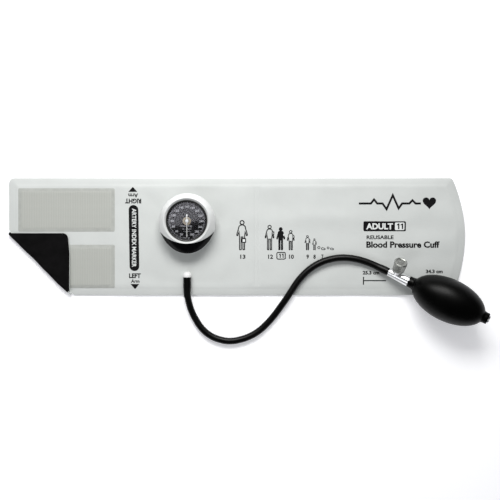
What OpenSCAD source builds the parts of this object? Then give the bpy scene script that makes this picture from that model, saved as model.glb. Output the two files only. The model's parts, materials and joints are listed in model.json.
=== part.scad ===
// Blood pressure cuff with its own aneroid gauge, hose, release valve and hand bulb.
// The cuff lies flat, printed face up. Origin: centre of the cuff on its underside.
// +X runs towards the rounded end, +Y across the cuff towards its upper edge, +Z up.
// Lengths are in millimetres and angles in degrees.

/* [Cuff] */
// Length of the cuff, from the square end to the tip of the rounded end
cuff_len = 511; // [490:1:530]
// Width of the cuff
cuff_w = 131; // [126:1:136]
// Thickness of the cuff with all its layers
cuff_t = 3; // [3:0.1:3.4]
// Radius of the arc that ends the cuff
end_r = 154; // [130:1:180]
// Radius of the corners at the square end
corner_r = 6; // [4:0.5:9]
// Thickness of the lining that lies on the arm
lining_t = 0.9; // [0.6:0.1:1]
// Margin of outer fabric left round the lining
edge_margin = 1.2; // [0.8:0.1:2]
// Thickness of the empty air bladder
bladder_t = 0.9; // [0.6:0.1:1]
// Leg of the corner that is folded over, along each edge
fold_leg = 69.5; // [55:0.5:75]
// Thickness of a hook patch
hook_t = 0.5; // [0.4:0.1:0.7]
// Length of a hook patch
hook_len = 108; // [90:1:115]
// Width of a hook patch
hook_w = 48.5; // [40:0.5:50]

/* [Gauge] */
// Distance of the gauge's axis from the cuff's centre, to the left
gauge_left = 54.8; // [50:0.1:60]
// Distance of the gauge's axis above the cuff's long centre line
gauge_up = 16.8; // [12:0.1:18]
// Radius of the round part of the gauge's outline
gauge_r = 30.4; // [30:0.1:32]
// Radius of the gauge's chin
chin_r = 26.4; // [25:0.1:28]
// Distance of the chin's centre below the gauge's axis
chin_drop = 9.4; // [7:0.1:11]
// Height of the bezel's rim above the cuff's underside
gauge_top = 28; // [28:0.1:30]
// Radius of the opening in the bezel
window_r = 22.8; // [22.4:0.1:23.2]
// Rise of the diaphragm capsule at full scale
capsule_rise = 1.5; // [1:0.1:1.5]

/* [Hose] */
// Outside diameter of the hose
hose_d = 7.5; // [7:0.1:8]
// Outside diameter of the hose where it is stretched over a barb
sleeve_d = 8.6; // [8.2:0.1:9]

/* [Valve and bulb] */
// Angle of the bulb's axis, seen from above
bulb_yaw = -26; // [-28:0.5:-24]
// Rise of the bulb's axis towards its tail
bulb_pitch = 14; // [13.5:0.5:15]
// Length of the valve body between the hose and the bulb
valve_len = 23.9; // [22:0.1:26]
// Largest radius of the bulb
bulb_r = 23.6; // [22:0.1:23.8]
// Wall thickness of the bulb
bulb_wall = 2.2; // [1.8:0.1:2.6]
// Distance of the bulb's middle from the hose end of the valve
bulb_mid = 70.4; // [68:0.1:72]
// Distance of the bulb's tail end from the hose end of the valve
bulb_end = 117.8; // [116:0.1:119]
// Angle that the thumbscrew leans from the valve's upright
screw_lean = 42.6; // [35:0.1:50]

/* [Hidden] */
$fn = 64;
CUT = 1;            // how far a cutting shape runs past what it cuts
RUN = 0.05;         // radial running clearance of a shaft in its bore

// Cuff
left_x = -cuff_len / 2;
low_y = -cuff_w / 2;
end_cx = cuff_len / 2 - end_r;      // centre of the end arc
join_x = end_cx + 60;               // where the straight stretch hands over to the end arc
fold_gap = 0.35;                    // each side of the fold line is this far from it
layer_gap = 0.3;                    // left between layers that can move on each other
fold_z = (2 * cuff_t + 2 * hook_t + layer_gap) / 2;     // height of the fold's axis
hook_x = left_x + 10.6;
hook_upper_y = 5.5;
hook_lower_y = -57.7;
bladder_x = left_x + 27.4;
bladder_len = 248;
bladder_w = 114;
bladder_cut = 42;                   // the bladder's clipped left corners
pocket_z = lining_t + bladder_t;

// Ports in the cuff
flange_t = 0.6;
flange_r = 12;
airway_r = 1.5;
spigot_r = 5;
hose_port_x = -55.5;
hose_port_y = -43.9;
hose_z = 7.4;                       // height of the hose's axis where it lies on the cuff
elbow_r = 4.65;
elbow_face = 1.7;                   // from the elbow's axis to the face that the hose butts on
barb_r = 2.6;
port_sleeve_len = 13.4;

// Gauge, heights above the cuff's underside
case_z = cuff_t + 0.6;
case_floor = case_z + 2;
case_waist_z = 12;
case_top = 17;
case_foot_r = 19;
well_r = 18.8;                      // lower cavity of the case
bore_r = window_r + 0.2;            // upper cavity of the case and the bezel's bore
bezel_edge_z = case_top + 2.5;
bezel_rim_r = 25.2;
clip_z = case_floor + 0.3;
clip_t = 0.8;
groove_r = 4;
spigot_head_r = 4.5;
spigot_top = 10.5;
seal_z = 8.2;                       // groove of the swivel's ring seal
seal_h = 1.2;
stud_r = 8;
stud_top = case_waist_z;
capsule_r = 17;
capsule_sheet = 0.8;
capsule_gap = 0.4;
upper_z = stud_top + capsule_sheet + capsule_gap;
boss_r = 2.6;
boss_top = upper_z + 3;
boss_bore_r = 1.3;
boss_floor_z = upper_z + 0.5;
ribbon_low = boss_floor_z + capsule_rise + layer_gap;
ribbon_h = 2.1;
spindle_low = ribbon_low + ribbon_h;
spindle_r = 0.8;
bridge_z = boss_top + capsule_rise + layer_gap;
bridge_t = 1.2;
pillar_ring_r = 20.3;
pillar_r = 1.8;
pillar_count = 3;
screw_r = 0.8;
screw_head_h = 0.8;
dial_z = bridge_z + bridge_t + screw_head_h;
dial_t = 0.8;
dial_top = dial_z + dial_t;
bushing_r = 4.5;
bushing_tube_r = 2.1;
pointer_z = dial_top + 1;
pointer_t = 0.3;
pointer_len = 18.4;
pointer_tail = 6.4;
gasket_z = dial_top + 1.4;
gasket_t = 1;
lens_z = gasket_z + gasket_t;
lens_t = 1.2;
dome_rim_r = 20.5;
dome_h = 1;
ring_z = lens_z + lens_t;
ring_t = 1.8;
ring_in_r = 20.7;
crescent_r = 40.6;                  // arc between the light bezel and its dark chin
crescent_up = 15.6;                 // that arc's centre, above the gauge's axis

// Hose route: the centre line, on the cuff, down to the surface, round and back onto the cuff
HOSE_POINTS = [
    [-55.5, -59, 7.4], [-55, -66.5, 7.4], [-53.5, -74, 6.2], [-51, -82.5, 4.8], [-46.5, -92, 4],
    [-39.5, -102.5, 3.9], [-29.5, -111, 3.9], [-18.5, -115.5, 3.9], [-8, -117, 3.9],
    [3, -115.5, 3.9], [13.5, -112, 3.9], [24, -106, 3.9], [33, -98, 4], [41, -89, 4.4],
    [48, -79.5, 5.6], [54, -71, 7], [60, -62, 7.4], [66.5, -52, 7.2], [73, -44, 7.2],
    [80.5, -37, 7.2], [91, -30.3, 7.2], [104, -25.5, 7.2], [117.5, -23.7, 7.2],
    [132, -25, 7.2], [142, -27.6, 7.3], [151.5, -31.2, 7.6], [160, -35.2, 8.9]
];
HOSE_START = [0, -1, 0];
HOSE_SIDES = 10;

// Valve and bulb, along the bulb's axis from the hose end of the valve
valve_sleeve_len = 10;
hose_exit = HOSE_POINTS[len(HOSE_POINTS) - 1];
bulb_dir = [cos(bulb_pitch) * cos(bulb_yaw), cos(bulb_pitch) * sin(bulb_yaw), sin(bulb_pitch)];
valve_at = hose_exit + valve_sleeve_len * bulb_dir;
valve_r1 = 4.55;
valve_r2 = 6.1;
valve_barb_r = 2.4;
valve_bore_r = 1.2;
nipple_r = 4;
nipple_end = valve_len + 9.5;
ball_r = 2;
ball_room_r = 2.5;
ball_travel = 1;
seat_r = 1.1;
seat_x = valve_len + 3.2;
ball_sit = sqrt(pow(ball_r, 2) - pow(seat_r, 2)) + RUN;     // ball's centre from its seat's face
screw_x = 9;                        // thumbscrew's axis, from the hose end of the valve
neck_r = 6.2;
neck_len = 6;
bulb_half = 42;                     // half length of the ellipse that the bulb's body follows
PROFILE_STEPS = 24;
patch_r = 13;
patch_gap = 0.3;
end_valve_x = bulb_end - 10;
end_flange_r = 4.9;
end_flange_t = 1.5;
end_seat_x = bulb_end - 2.8;

// Thumbscrew, along its own axis from the valve's axis
gland_top = 7.2;
gland_r = 4.2;
stem_r = 2;
needle_seat = 1.6;
needle_top = 3.6;
stem_low = needle_top + 0.3;
ring_seal_t = 1.4;
knob_low = gland_top + 2;
knob_top = 22;
knob_r1 = 5.7;
knob_r2 = 6.8;
KNURLS = 24;

// ---- Shared shapes ----

// Outline of the whole cuff, moved inwards by e
module cuff_plan(e = 0) {
    half = cuff_w / 2 - e;
    r = corner_r - e;
    translate([left_x + e, r - half]) square([join_x - left_x - e, 2 * (half - r)]);
    translate([left_x + corner_r, -half]) square([join_x - left_x - corner_r, 2 * half]);
    for (side = [-1, 1]) translate([left_x + corner_r, side * (half - r)]) circle(r = r);
    intersection() {
        translate([end_cx, 0]) circle(r = end_r - e, $fn = 180);
        translate([join_x - CUT, -half]) square([cuff_len, 2 * half]);
    }
}

// Everything on the corner's side of the fold line, moved over that line by g
module corner_side(g) {
    far = 20;
    c = left_x + low_y + fold_leg + g * sqrt(2);
    translate([0, 0, -far])
        linear_extrude(3 * far)
            polygon([
                [left_x - far, low_y - far],
                [c - low_y + far, low_y - far],
                [left_x - far, c - left_x + far]
            ]);
}

// What is left of a layer when its corner is folded away
module unfolded_part() {
    difference() {
        children();
        corner_side(fold_gap);
    }
}

// The folded corner of a layer, turned over about the fold line
module folded_part() {
    translate([left_x + fold_leg, low_y, fold_z])
        rotate(a = 180, v = [1, -1, 0])
            translate([-left_x - fold_leg, -low_y, -fold_z])
                intersection() {
                    children();
                    corner_side(-fold_gap);
                }
}

// Flat outline of the bladder, larger by e
module bladder_plan(e = 0) {
    half = bladder_w / 2 + e;
    polygon([
        [bladder_x - e, -half + bladder_cut], [bladder_x - e, half - bladder_cut],
        [bladder_x - e + bladder_cut, half], [bladder_x + bladder_len + e, half],
        [bladder_x + bladder_len + e, -half], [bladder_x - e + bladder_cut, -half]
    ]);
}

module at_gauge(z = 0) {
    translate([-gauge_left, gauge_up, z]) children();
}

module at_hose_port(z = 0) {
    translate([hose_port_x, hose_port_y, z]) children();
}

// Egg-shaped slab: the gauge's round outline with its chin
module egg(h, e = 0) {
    hull() {
        cylinder(r = gauge_r - e, h = h);
        translate([0, -chin_drop, 0]) cylinder(r = chin_r - e, h = h);
    }
}

module ring(r_out, r_in, h) {
    difference() {
        cylinder(r = r_out, h = h);
        translate([0, 0, -CUT]) cylinder(r = r_in, h = h + 2 * CUT);
    }
}

// Bezel before it is parted into its light ring and dark chin
module bezel_blank() {
    difference() {
        hull() {
            translate([0, 0, case_top]) egg(bezel_edge_z - case_top);
            translate([0, 0, gauge_top - 0.2]) cylinder(r = bezel_rim_r, h = 0.2);
        }
        translate([0, 0, case_top - CUT]) cylinder(r = bore_r, h = ring_z + ring_t - case_top + CUT);
        translate([0, 0, ring_z + ring_t - 0.01])
            cylinder(r1 = window_r, r2 = window_r + 1.8, h = gauge_top - ring_z - ring_t + 0.02);
    }
}

module crescent_cutter() {
    translate([0, crescent_up, case_top - CUT])
        cylinder(r = crescent_r, h = gauge_top, $fn = 96);
}

// Turns children, drawn along +X, onto the bulb's axis
module on_bulb_axis() {
    translate(valve_at) rotate([0, -bulb_pitch, bulb_yaw]) children();
}

// Cylinder or cone along the bulb's axis from x1 to x2
module axial(x1, x2, r1, r2) {
    translate([x1, 0, 0]) rotate([0, 90, 0]) cylinder(r1 = r1, r2 = r2, h = x2 - x1);
}

// Turns children, drawn along +Z, onto the thumbscrew's axis
module on_screw_axis() {
    on_bulb_axis() translate([screw_x, 0, 0]) rotate([-screw_lean, 0, 0]) children();
}

// Half section of a body of revolution that follows the bulb, with x along the axis
function bulb_curve(half_len, r, end_r) =
    let (u = sqrt(1 - pow(end_r / r, 2)))
    [for (i = [0 : PROFILE_STEPS])
        let (t = u * (2 * i / PROFILE_STEPS - 1))
        [r * sqrt(1 - t * t), bulb_mid + half_len * t]];

module bulb_shell() {
    rotate([0, 90, 0])
        difference() {
            rotate_extrude()
                polygon(concat(
                    [[0, valve_len], [neck_r, valve_len], [neck_r, valve_len + neck_len]],
                    bulb_curve(bulb_half, bulb_r, neck_r + 0.3),
                    [[neck_r, bulb_end], [0, bulb_end]]
                ));
            rotate_extrude()
                polygon(concat(
                    [[0, valve_len + 11]],
                    bulb_curve(bulb_half - bulb_wall, bulb_r - bulb_wall, nipple_r + 0.4),
                    [[0, bulb_end - 11.5]]
                ));
            translate([0, 0, valve_len - CUT]) cylinder(r = nipple_r, h = 15);
            translate([0, 0, bulb_end - 14]) cylinder(r = nipple_r, h = 14 + CUT);
        }
}

module patch_cutter(r) {
    translate([bulb_mid, 0, 0]) cylinder(r = r, h = bulb_r + CUT);
}

// ---- Cuff ----

module shell_layer() {
    difference() {
        linear_extrude(cuff_t) cuff_plan();
        translate([0, 0, -CUT]) linear_extrude(lining_t + CUT) cuff_plan(edge_margin);
        linear_extrude(pocket_z) bladder_plan(0.2);
        at_gauge(-CUT) cylinder(r = flange_r + 0.1, h = pocket_z + flange_t + CUT);
        at_hose_port(-CUT) cylinder(r = flange_r - 3 + 0.1, h = pocket_z + flange_t + CUT);
        at_gauge() cylinder(r = spigot_r + 0.1, h = cuff_t + CUT);
        at_hose_port() cylinder(r = elbow_r + 0.1, h = cuff_t + CUT);
    }
}

module lining_layer() {
    linear_extrude(lining_t) cuff_plan(edge_margin);
}

module hook_layer(y) {
    translate([hook_x, y, cuff_t]) cube([hook_len, hook_w, hook_t]);
}

module cuff_outer_shell() {
    color("gainsboro") unfolded_part() shell_layer();
}

module inner_lining() {
    color([0.05, 0.05, 0.06]) unfolded_part() lining_layer();
}

module air_bladder() {
    color("dimgray")
        difference() {
            translate([0, 0, lining_t]) linear_extrude(bladder_t) bladder_plan();
            at_gauge(lining_t + bladder_t / 2) cylinder(r = airway_r, h = bladder_t);
            at_hose_port(lining_t + bladder_t / 2) cylinder(r = airway_r, h = bladder_t);
        }
}

module hook_patch_upper() {
    color("silver") hook_layer(hook_upper_y);
}

module hook_patch_lower() {
    color("silver") unfolded_part() hook_layer(hook_lower_y);
}

module corner_flap_shell() {
    color("gainsboro") folded_part() shell_layer();
}

module corner_flap_lining() {
    color([0.05, 0.05, 0.06]) folded_part() lining_layer();
}

module corner_flap_hook() {
    color("silver") folded_part() hook_layer(hook_lower_y);
}

// ---- Ports welded into the cuff ----

module gauge_port() {
    color("whitesmoke")
        at_gauge()
            difference() {
                union() {
                    translate([0, 0, pocket_z]) cylinder(r = flange_r, h = flange_t);
                    translate([0, 0, pocket_z]) cylinder(r = spigot_r, h = clip_z - pocket_z);
                    translate([0, 0, clip_z - CUT]) cylinder(r = groove_r, h = clip_t + 2 * CUT);
                    translate([0, 0, clip_z + clip_t])
                        cylinder(r = spigot_head_r, h = spigot_top - clip_z - clip_t);
                }
                translate([0, 0, seal_z]) ring(spigot_head_r + CUT, spigot_head_r - 1, seal_h);
                cylinder(r = airway_r, h = spigot_top + CUT);
            }
}

module port_clip() {
    color("silver") at_gauge(clip_z) ring(6.4, groove_r + 0.02, clip_t);
}

module swivel_seal() {
    mid_r = spigot_head_r - seal_h / 2;
    color([0.08, 0.08, 0.08])
        at_gauge(seal_z + seal_h / 2)
            rotate_extrude() translate([mid_r + 0.01, 0]) circle(r = seal_h / 2 - 0.01, $fn = 32);
}

// Elbow with a flat face for the hose's end and a barb inside the hose
module hose_port() {
    top_z = hose_z + elbow_r;
    color("whitesmoke")
        at_hose_port()
            difference() {
                union() {
                    translate([0, 0, pocket_z]) cylinder(r = flange_r - 3, h = flange_t);
                    difference() {
                        union() {
                            translate([0, 0, pocket_z]) cylinder(r = elbow_r, h = hose_z - pocket_z);
                            intersection() {
                                translate([0, 0, hose_z - 0.5]) sphere(r = elbow_r + 0.2);
                                translate([0, 0, hose_z - CUT]) cylinder(r = elbow_r, h = top_z);
                            }
                        }
                        translate([-elbow_r - CUT, -elbow_face - 2 * elbow_r, cuff_t + 0.2])
                            cube([2 * (elbow_r + CUT), 2 * elbow_r, top_z]);
                    }
                    translate([0, 0, hose_z])
                        rotate([90, 0, 0])
                            cylinder(r = barb_r, h = elbow_face + port_sleeve_len);
                }
                translate([0, 0, pocket_z - CUT]) cylinder(r = airway_r, h = hose_z - pocket_z + CUT);
                translate([0, 0, hose_z])
                    rotate([90, 0, 0]) cylinder(r = airway_r, h = 3 * port_sleeve_len);
            }
}

// ---- Gauge ----

module gauge_case() {
    color("whitesmoke")
        at_gauge()
            difference() {
                hull() {
                    translate([0, 0, case_z]) cylinder(r = case_foot_r, h = 0.4);
                    translate([0, 0, case_waist_z]) egg(case_top - case_waist_z, 0.4);
                }
                translate([0, 0, case_floor]) cylinder(r = well_r, h = case_top);
                translate([0, 0, case_waist_z]) cylinder(r = bore_r, h = case_top);
                cylinder(r = spigot_r + RUN, h = case_top);
            }
}

module bezel_ring() {
    color("white") at_gauge() intersection() {
        bezel_blank();
        crescent_cutter();
    }
}

module bezel_chin() {
    color([0.06, 0.06, 0.06]) at_gauge() difference() {
        bezel_blank();
        crescent_cutter();
    }
}

module lens_ring() {
    color([0.06, 0.06, 0.06]) at_gauge(ring_z) ring(window_r + 0.1, ring_in_r, ring_t);
}

module lens_gasket() {
    color([0.1, 0.1, 0.1]) at_gauge(gasket_z) ring(window_r, ring_in_r, gasket_t);
}

module lens() {
    dome_r = (pow(dome_rim_r, 2) + pow(dome_h, 2)) / (2 * dome_h);
    half = asin(dome_rim_r / dome_r);
    steps = 10;
    color("lightcyan", 0.4)
        at_gauge(lens_z)
            rotate_extrude()
                polygon(concat(
                    [[0, 0], [window_r, 0], [window_r, lens_t]],
                    [for (i = [0 : steps])
                        let (a = half * (1 - i / steps))
                        [dome_r * sin(a), lens_t + dome_h - dome_r * (1 - cos(a))]]
                ));
}

module dial_plate() {
    color([0.05, 0.05, 0.05])
        at_gauge(dial_z) ring(window_r - 0.3, bushing_tube_r + RUN, dial_t);
}

module dial_bushing() {
    color("goldenrod")
        at_gauge() {
            translate([0, 0, dial_top]) ring(bushing_r, spindle_r + RUN, 0.5);
            translate([0, 0, bridge_z + 0.4])
                ring(bushing_tube_r, spindle_r + RUN, dial_top - bridge_z - 0.4);
        }
}

// Places children on the three pillars that carry the bridge
module on_pillars() {
    for (i = [0 : pillar_count - 1])
        rotate(90 + i * 360 / pillar_count) translate([pillar_ring_r, 0, 0]) children();
}

module movement_bridge() {
    color("silver")
        at_gauge()
            difference() {
                union() {
                    translate([0, 0, bridge_z]) cylinder(r = window_r - 0.3, h = bridge_t);
                    on_pillars() translate([0, 0, case_waist_z])
                        cylinder(r = pillar_r, h = bridge_z - case_waist_z + CUT / 2);
                }
                translate([0, 0, bridge_z - CUT])
                    cylinder(r = bushing_tube_r + RUN, h = bridge_t + 2 * CUT);
                on_pillars() translate([0, 0, case_waist_z + 1])
                    cylinder(r = screw_r + RUN, h = bridge_z);
            }
}

module bridge_screws() {
    shank = 5;
    head_z = bridge_z + bridge_t;
    color("gray")
        at_gauge()
            on_pillars() {
                difference() {
                    translate([0, 0, head_z]) cylinder(r = 1.5, h = screw_head_h);
                    translate([-2, -0.2, head_z + screw_head_h / 2]) cube([4, 0.4, screw_head_h]);
                }
                translate([0, 0, head_z - shank]) cylinder(r = screw_r, h = shank + 0.1);
            }
}

module capsule_stud() {
    color("goldenrod")
        at_gauge()
            difference() {
                translate([0, 0, case_floor]) cylinder(r = stud_r, h = stud_top - case_floor);
                translate([0, 0, case_floor - CUT]) cylinder(r = stud_r - 1, h = 1.6 + CUT);
                translate([0, 0, case_floor])
                    cylinder(r = spigot_head_r + RUN, h = spigot_top + 0.4 - case_floor);
                cylinder(r = airway_r, h = stud_top + CUT);
            }
}

// Half section of a corrugated diaphragm
module diaphragm_section(hole_r) {
    sheet = capsule_sheet / 2;
    bend = [for (i = [0 : 6]) [capsule_r - 1 - 2 * i, (i % 2 == 0) ? 0 : sheet / 2]];
    polygon(concat(
        [[capsule_r, 0]], bend, [[hole_r, 0], [hole_r, sheet]],
        [for (i = [6 : -1 : 0]) [bend[i][0], bend[i][1] + sheet]], [[capsule_r, sheet]]
    ));
}

module capsule_lower() {
    color("darkgoldenrod")
        at_gauge(stud_top) rotate_extrude() diaphragm_section(airway_r);
}

module capsule_upper() {
    color("darkgoldenrod")
        at_gauge()
            difference() {
                union() {
                    translate([0, 0, upper_z]) rotate_extrude() diaphragm_section(1);
                    translate([0, 0, upper_z]) cylinder(r = boss_r, h = boss_top - upper_z);
                }
                translate([0, 0, boss_floor_z]) cylinder(r = boss_bore_r, h = boss_top);
            }
}

// Thin strip with a quarter turn of twist: the capsule's boss slides along it and turns it
module drive_ribbon() {
    width = 2;
    thickness = 0.3;
    steps = 9;
    step_h = ribbon_h / steps;
    color("silver")
        at_gauge(ribbon_low)
            for (i = [0 : steps - 1])
                translate([0, 0, i * step_h])
                    rotate(i * 90 / (steps - 1))
                        translate([-width / 2, -thickness / 2, 0])
                            cube([width, thickness, step_h]);
}

module spindle() {
    color("lightgray")
        at_gauge(spindle_low) cylinder(r = spindle_r, h = pointer_z + 0.5 - spindle_low);
}

// Pointer at rest: it points down the dial, at zero
module pointer() {
    blade = 0.9;
    tip = 0.35;
    tail_r = 0.9;
    hub_r = 1.9;
    color("white")
        at_gauge(pointer_z)
            difference() {
                union() {
                    linear_extrude(pointer_t) {
                        polygon([
                            [-blade / 2, 0], [blade / 2, 0],
                            [tip / 2, -pointer_len], [-tip / 2, -pointer_len]
                        ]);
                        translate([-blade / 2, 0]) square([blade, pointer_tail]);
                        translate([0, pointer_tail]) circle(r = tail_r);
                    }
                    cylinder(r = hub_r, h = pointer_t + 0.1);
                }
                translate([0, 0, -CUT]) cylinder(r = spindle_r, h = 2 + CUT);
            }
}

module pointer_cap() {
    color("white")
        at_gauge(pointer_z + 0.5) cylinder(r1 = 1.3, r2 = 1, h = 0.4);
}

// ---- Hose ----

function unit(v) = v / norm(v);

// Direction of the hose at each of its points
function hose_direction(i) =
    i == 0 ? HOSE_START :
    i == len(HOSE_POINTS) - 1 ? bulb_dir :
    unit(HOSE_POINTS[i + 1] - HOSE_POINTS[i - 1]);

function hose_ring(i) =
    let (along = hose_direction(i))
    let (side = unit(cross(along, [0, 0, 1])))
    let (up = cross(side, along))
    [for (k = [0 : HOSE_SIDES - 1])
        let (a = 360 * k / HOSE_SIDES)
        HOSE_POINTS[i] + hose_d / 2 * (cos(a) * side + sin(a) * up)];

module hose_tube() {
    rings = len(HOSE_POINTS);
    n = HOSE_SIDES;
    points = [for (i = [0 : rings - 1]) each hose_ring(i)];
    walls = [for (i = [0 : rings - 2]) for (k = [0 : n - 1])
        let (next = (k + 1) % n)
        [i * n + k, i * n + next, (i + 1) * n + next, (i + 1) * n + k]];
    color([0.07, 0.07, 0.07])
        polyhedron(
            points = points,
            faces = concat(
                walls,
                [[for (k = [n - 1 : -1 : 0]) k]],
                [[for (k = [0 : n - 1]) (rings - 1) * n + k]]
            )
        );
}

module hose_sleeve_port() {
    color([0.07, 0.07, 0.07])
        at_hose_port(hose_z)
            translate([0, -elbow_face, 0])
                rotate([90, 0, 0]) ring(sleeve_d / 2, barb_r, port_sleeve_len);
}

module hose_sleeve_valve() {
    color([0.07, 0.07, 0.07])
        on_bulb_axis()
            difference() {
                axial(-valve_sleeve_len, 0, sleeve_d / 2, sleeve_d / 2);
                axial(-valve_sleeve_len - CUT, CUT, valve_barb_r, valve_barb_r);
            }
}

// ---- Release valve ----

module valve_body() {
    color("silver")
        difference() {
            union() {
                on_bulb_axis() {
                    axial(0, valve_len, valve_r1, valve_r2);
                    axial(-valve_sleeve_len, CUT, valve_barb_r, valve_barb_r);
                    axial(valve_len - CUT, nipple_end, nipple_r, nipple_r);
                }
                on_screw_axis() cylinder(r = gland_r, h = gland_top);
            }
            on_bulb_axis() {
                axial(-valve_sleeve_len - CUT, nipple_end, valve_bore_r, valve_bore_r);
                axial(seat_x - ball_sit - ball_r - ball_travel - 0.1, nipple_end + CUT,
                    ball_room_r, ball_room_r);
            }
            on_screw_axis() {
                translate([0, 0, needle_seat]) cylinder(r = stem_r + RUN, h = gland_top);
                cylinder(r = 0.9, h = gland_top);
            }
        }
}

module stem_seal() {
    color([0.05, 0.05, 0.05])
        on_screw_axis() translate([0, 0, gland_top]) ring(4.1, stem_r + RUN, ring_seal_t);
}

module valve_needle() {
    cone_h = 1;
    color("goldenrod")
        on_screw_axis() {
            translate([0, 0, needle_seat + 0.1]) cylinder(r1 = 0.7, r2 = 1.8, h = cone_h);
            translate([0, 0, needle_seat + 0.1 + cone_h])
                cylinder(r = 1.8, h = needle_top - needle_seat - 0.1 - cone_h);
        }
}

module thumbscrew_stem() {
    color("silver")
        on_screw_axis()
            translate([0, 0, stem_low]) cylinder(r = stem_r, h = knob_low + 6 - stem_low);
}

module thumbscrew_knob() {
    knurl_r = 0.4;
    slope = atan((knob_r2 - knob_r1) / (knob_top - knob_low));
    color("gray")
        on_screw_axis()
            difference() {
                union() {
                    translate([0, 0, knob_low])
                        cylinder(r1 = knob_r1, r2 = knob_r2, h = knob_top - knob_low - 0.8);
                    translate([0, 0, knob_top - 0.8])
                        cylinder(r1 = knob_r2, r2 = knob_r2 - 0.7, h = 0.8);
                }
                translate([0, 0, knob_low - CUT]) cylinder(r = stem_r, h = 6 + CUT);
                for (i = [0 : KNURLS - 1])
                    rotate(i * 360 / KNURLS)
                        translate([knob_r1 + 0.15, 0, knob_low])
                            rotate([0, slope, 0]) translate([0, 0, 1.5])
                                cylinder(r = knurl_r, h = 9.2, $fn = 16);
            }
}

module outlet_seat() {
    color("goldenrod")
        on_bulb_axis()
            difference() {
                axial(seat_x, nipple_end, ball_room_r, ball_room_r);
                axial(seat_x - CUT, nipple_end + CUT, seat_r, seat_r);
            }
}

module outlet_ball() {
    color("lightgray")
        on_bulb_axis() translate([seat_x - ball_sit, 0, 0]) sphere(r = ball_r);
}

// ---- Bulb ----

module bulb() {
    color([0.06, 0.06, 0.06])
        on_bulb_axis()
            difference() {
                bulb_shell();
                patch_cutter(patch_r + patch_gap);
            }
}

// Part of the bulb's wall that the thumb presses in
module bulb_thumb_patch() {
    color([0.1, 0.1, 0.1])
        on_bulb_axis()
            intersection() {
                bulb_shell();
                patch_cutter(patch_r);
            }
}

module end_valve_body() {
    color("silver")
        on_bulb_axis()
            difference() {
                union() {
                    axial(end_valve_x, bulb_end + CUT, nipple_r, nipple_r);
                    axial(bulb_end, bulb_end + end_flange_t, end_flange_r, end_flange_r - 0.4);
                }
                axial(end_valve_x - CUT, end_seat_x, ball_room_r, ball_room_r);
                axial(end_seat_x - CUT, bulb_end + 3, seat_r, seat_r);
                axial(bulb_end + end_flange_t - 0.8, bulb_end + 3, 3.2, 3.2);
            }
}

// Ring that keeps the ball in the end valve
module end_valve_cage() {
    cage_end = end_seat_x - ball_sit - ball_r - ball_travel - 0.1;
    color("goldenrod")
        on_bulb_axis()
            difference() {
                axial(end_valve_x, cage_end, ball_room_r, ball_room_r);
                axial(end_valve_x - CUT, cage_end + CUT, seat_r, seat_r);
            }
}

module intake_ball() {
    color("lightgray")
        on_bulb_axis() translate([end_seat_x - ball_sit, 0, 0]) sphere(r = ball_r);
}

module intake_filter() {
    color("gray")
        on_bulb_axis()
            axial(bulb_end + end_flange_t - 0.8, bulb_end + end_flange_t - 0.3, 3.2, 3.2);
}

cuff_outer_shell();
inner_lining();
air_bladder();
hook_patch_upper();
hook_patch_lower();
corner_flap_shell();
corner_flap_lining();
corner_flap_hook();
gauge_port();
port_clip();
swivel_seal();
hose_port();
gauge_case();
bezel_ring();
bezel_chin();
lens_ring();
lens_gasket();
lens();
dial_plate();
dial_bushing();
movement_bridge();
bridge_screws();
capsule_stud();
capsule_lower();
capsule_upper();
drive_ribbon();
spindle();
pointer();
pointer_cap();
hose_tube();
hose_sleeve_port();
hose_sleeve_valve();
valve_body();
stem_seal();
valve_needle();
thumbscrew_stem();
thumbscrew_knob();
outlet_seat();
outlet_ball();
bulb();
bulb_thumb_patch();
end_valve_body();
end_valve_cage();
intake_ball();
intake_filter();
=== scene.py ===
"""Looks of a blood pressure cuff with its gauge, hose, release valve and hand bulb.

Sizes are in millimetres and are turned into metres when a mesh is made. Places come from the
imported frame: its nodes' boxes and its joints' axes.
"""

import json
from math import ceil, cos, hypot, pi, radians, sin, sqrt

import bpy
import numpy as np
from mathutils import Matrix, Vector, noise
from mathutils.bvhtree import BVHTree
from mathutils.geometry import delaunay_2d_cdt


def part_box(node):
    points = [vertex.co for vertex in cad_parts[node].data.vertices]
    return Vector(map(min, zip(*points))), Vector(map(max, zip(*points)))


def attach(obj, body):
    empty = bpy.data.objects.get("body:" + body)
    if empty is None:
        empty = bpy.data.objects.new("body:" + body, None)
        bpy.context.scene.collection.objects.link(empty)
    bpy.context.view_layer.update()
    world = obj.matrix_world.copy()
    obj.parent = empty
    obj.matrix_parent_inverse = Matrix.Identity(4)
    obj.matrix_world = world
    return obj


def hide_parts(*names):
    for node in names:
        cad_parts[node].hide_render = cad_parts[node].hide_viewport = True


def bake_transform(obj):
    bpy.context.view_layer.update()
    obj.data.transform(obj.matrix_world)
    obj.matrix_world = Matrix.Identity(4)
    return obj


MM = 0.001
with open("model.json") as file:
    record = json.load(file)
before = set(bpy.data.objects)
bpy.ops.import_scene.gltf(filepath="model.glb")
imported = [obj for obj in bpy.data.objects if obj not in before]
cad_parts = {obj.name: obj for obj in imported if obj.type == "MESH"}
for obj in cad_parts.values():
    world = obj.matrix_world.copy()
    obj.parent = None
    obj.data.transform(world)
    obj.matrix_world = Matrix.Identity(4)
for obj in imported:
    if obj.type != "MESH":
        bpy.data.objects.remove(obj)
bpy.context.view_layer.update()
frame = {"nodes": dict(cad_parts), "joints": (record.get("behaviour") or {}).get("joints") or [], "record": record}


# ---- What the frame says ----

def box_mm(node):
    low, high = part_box(node)
    return low / MM, high / MM


def joint(name):
    return next(j for j in frame["joints"] if j["name"] == name)


def joint_place(name):
    return Vector(joint(name)["pos_m"]) / MM


def joint_axis(name):
    return Vector(joint(name)["axis"]).normalized()


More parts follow.
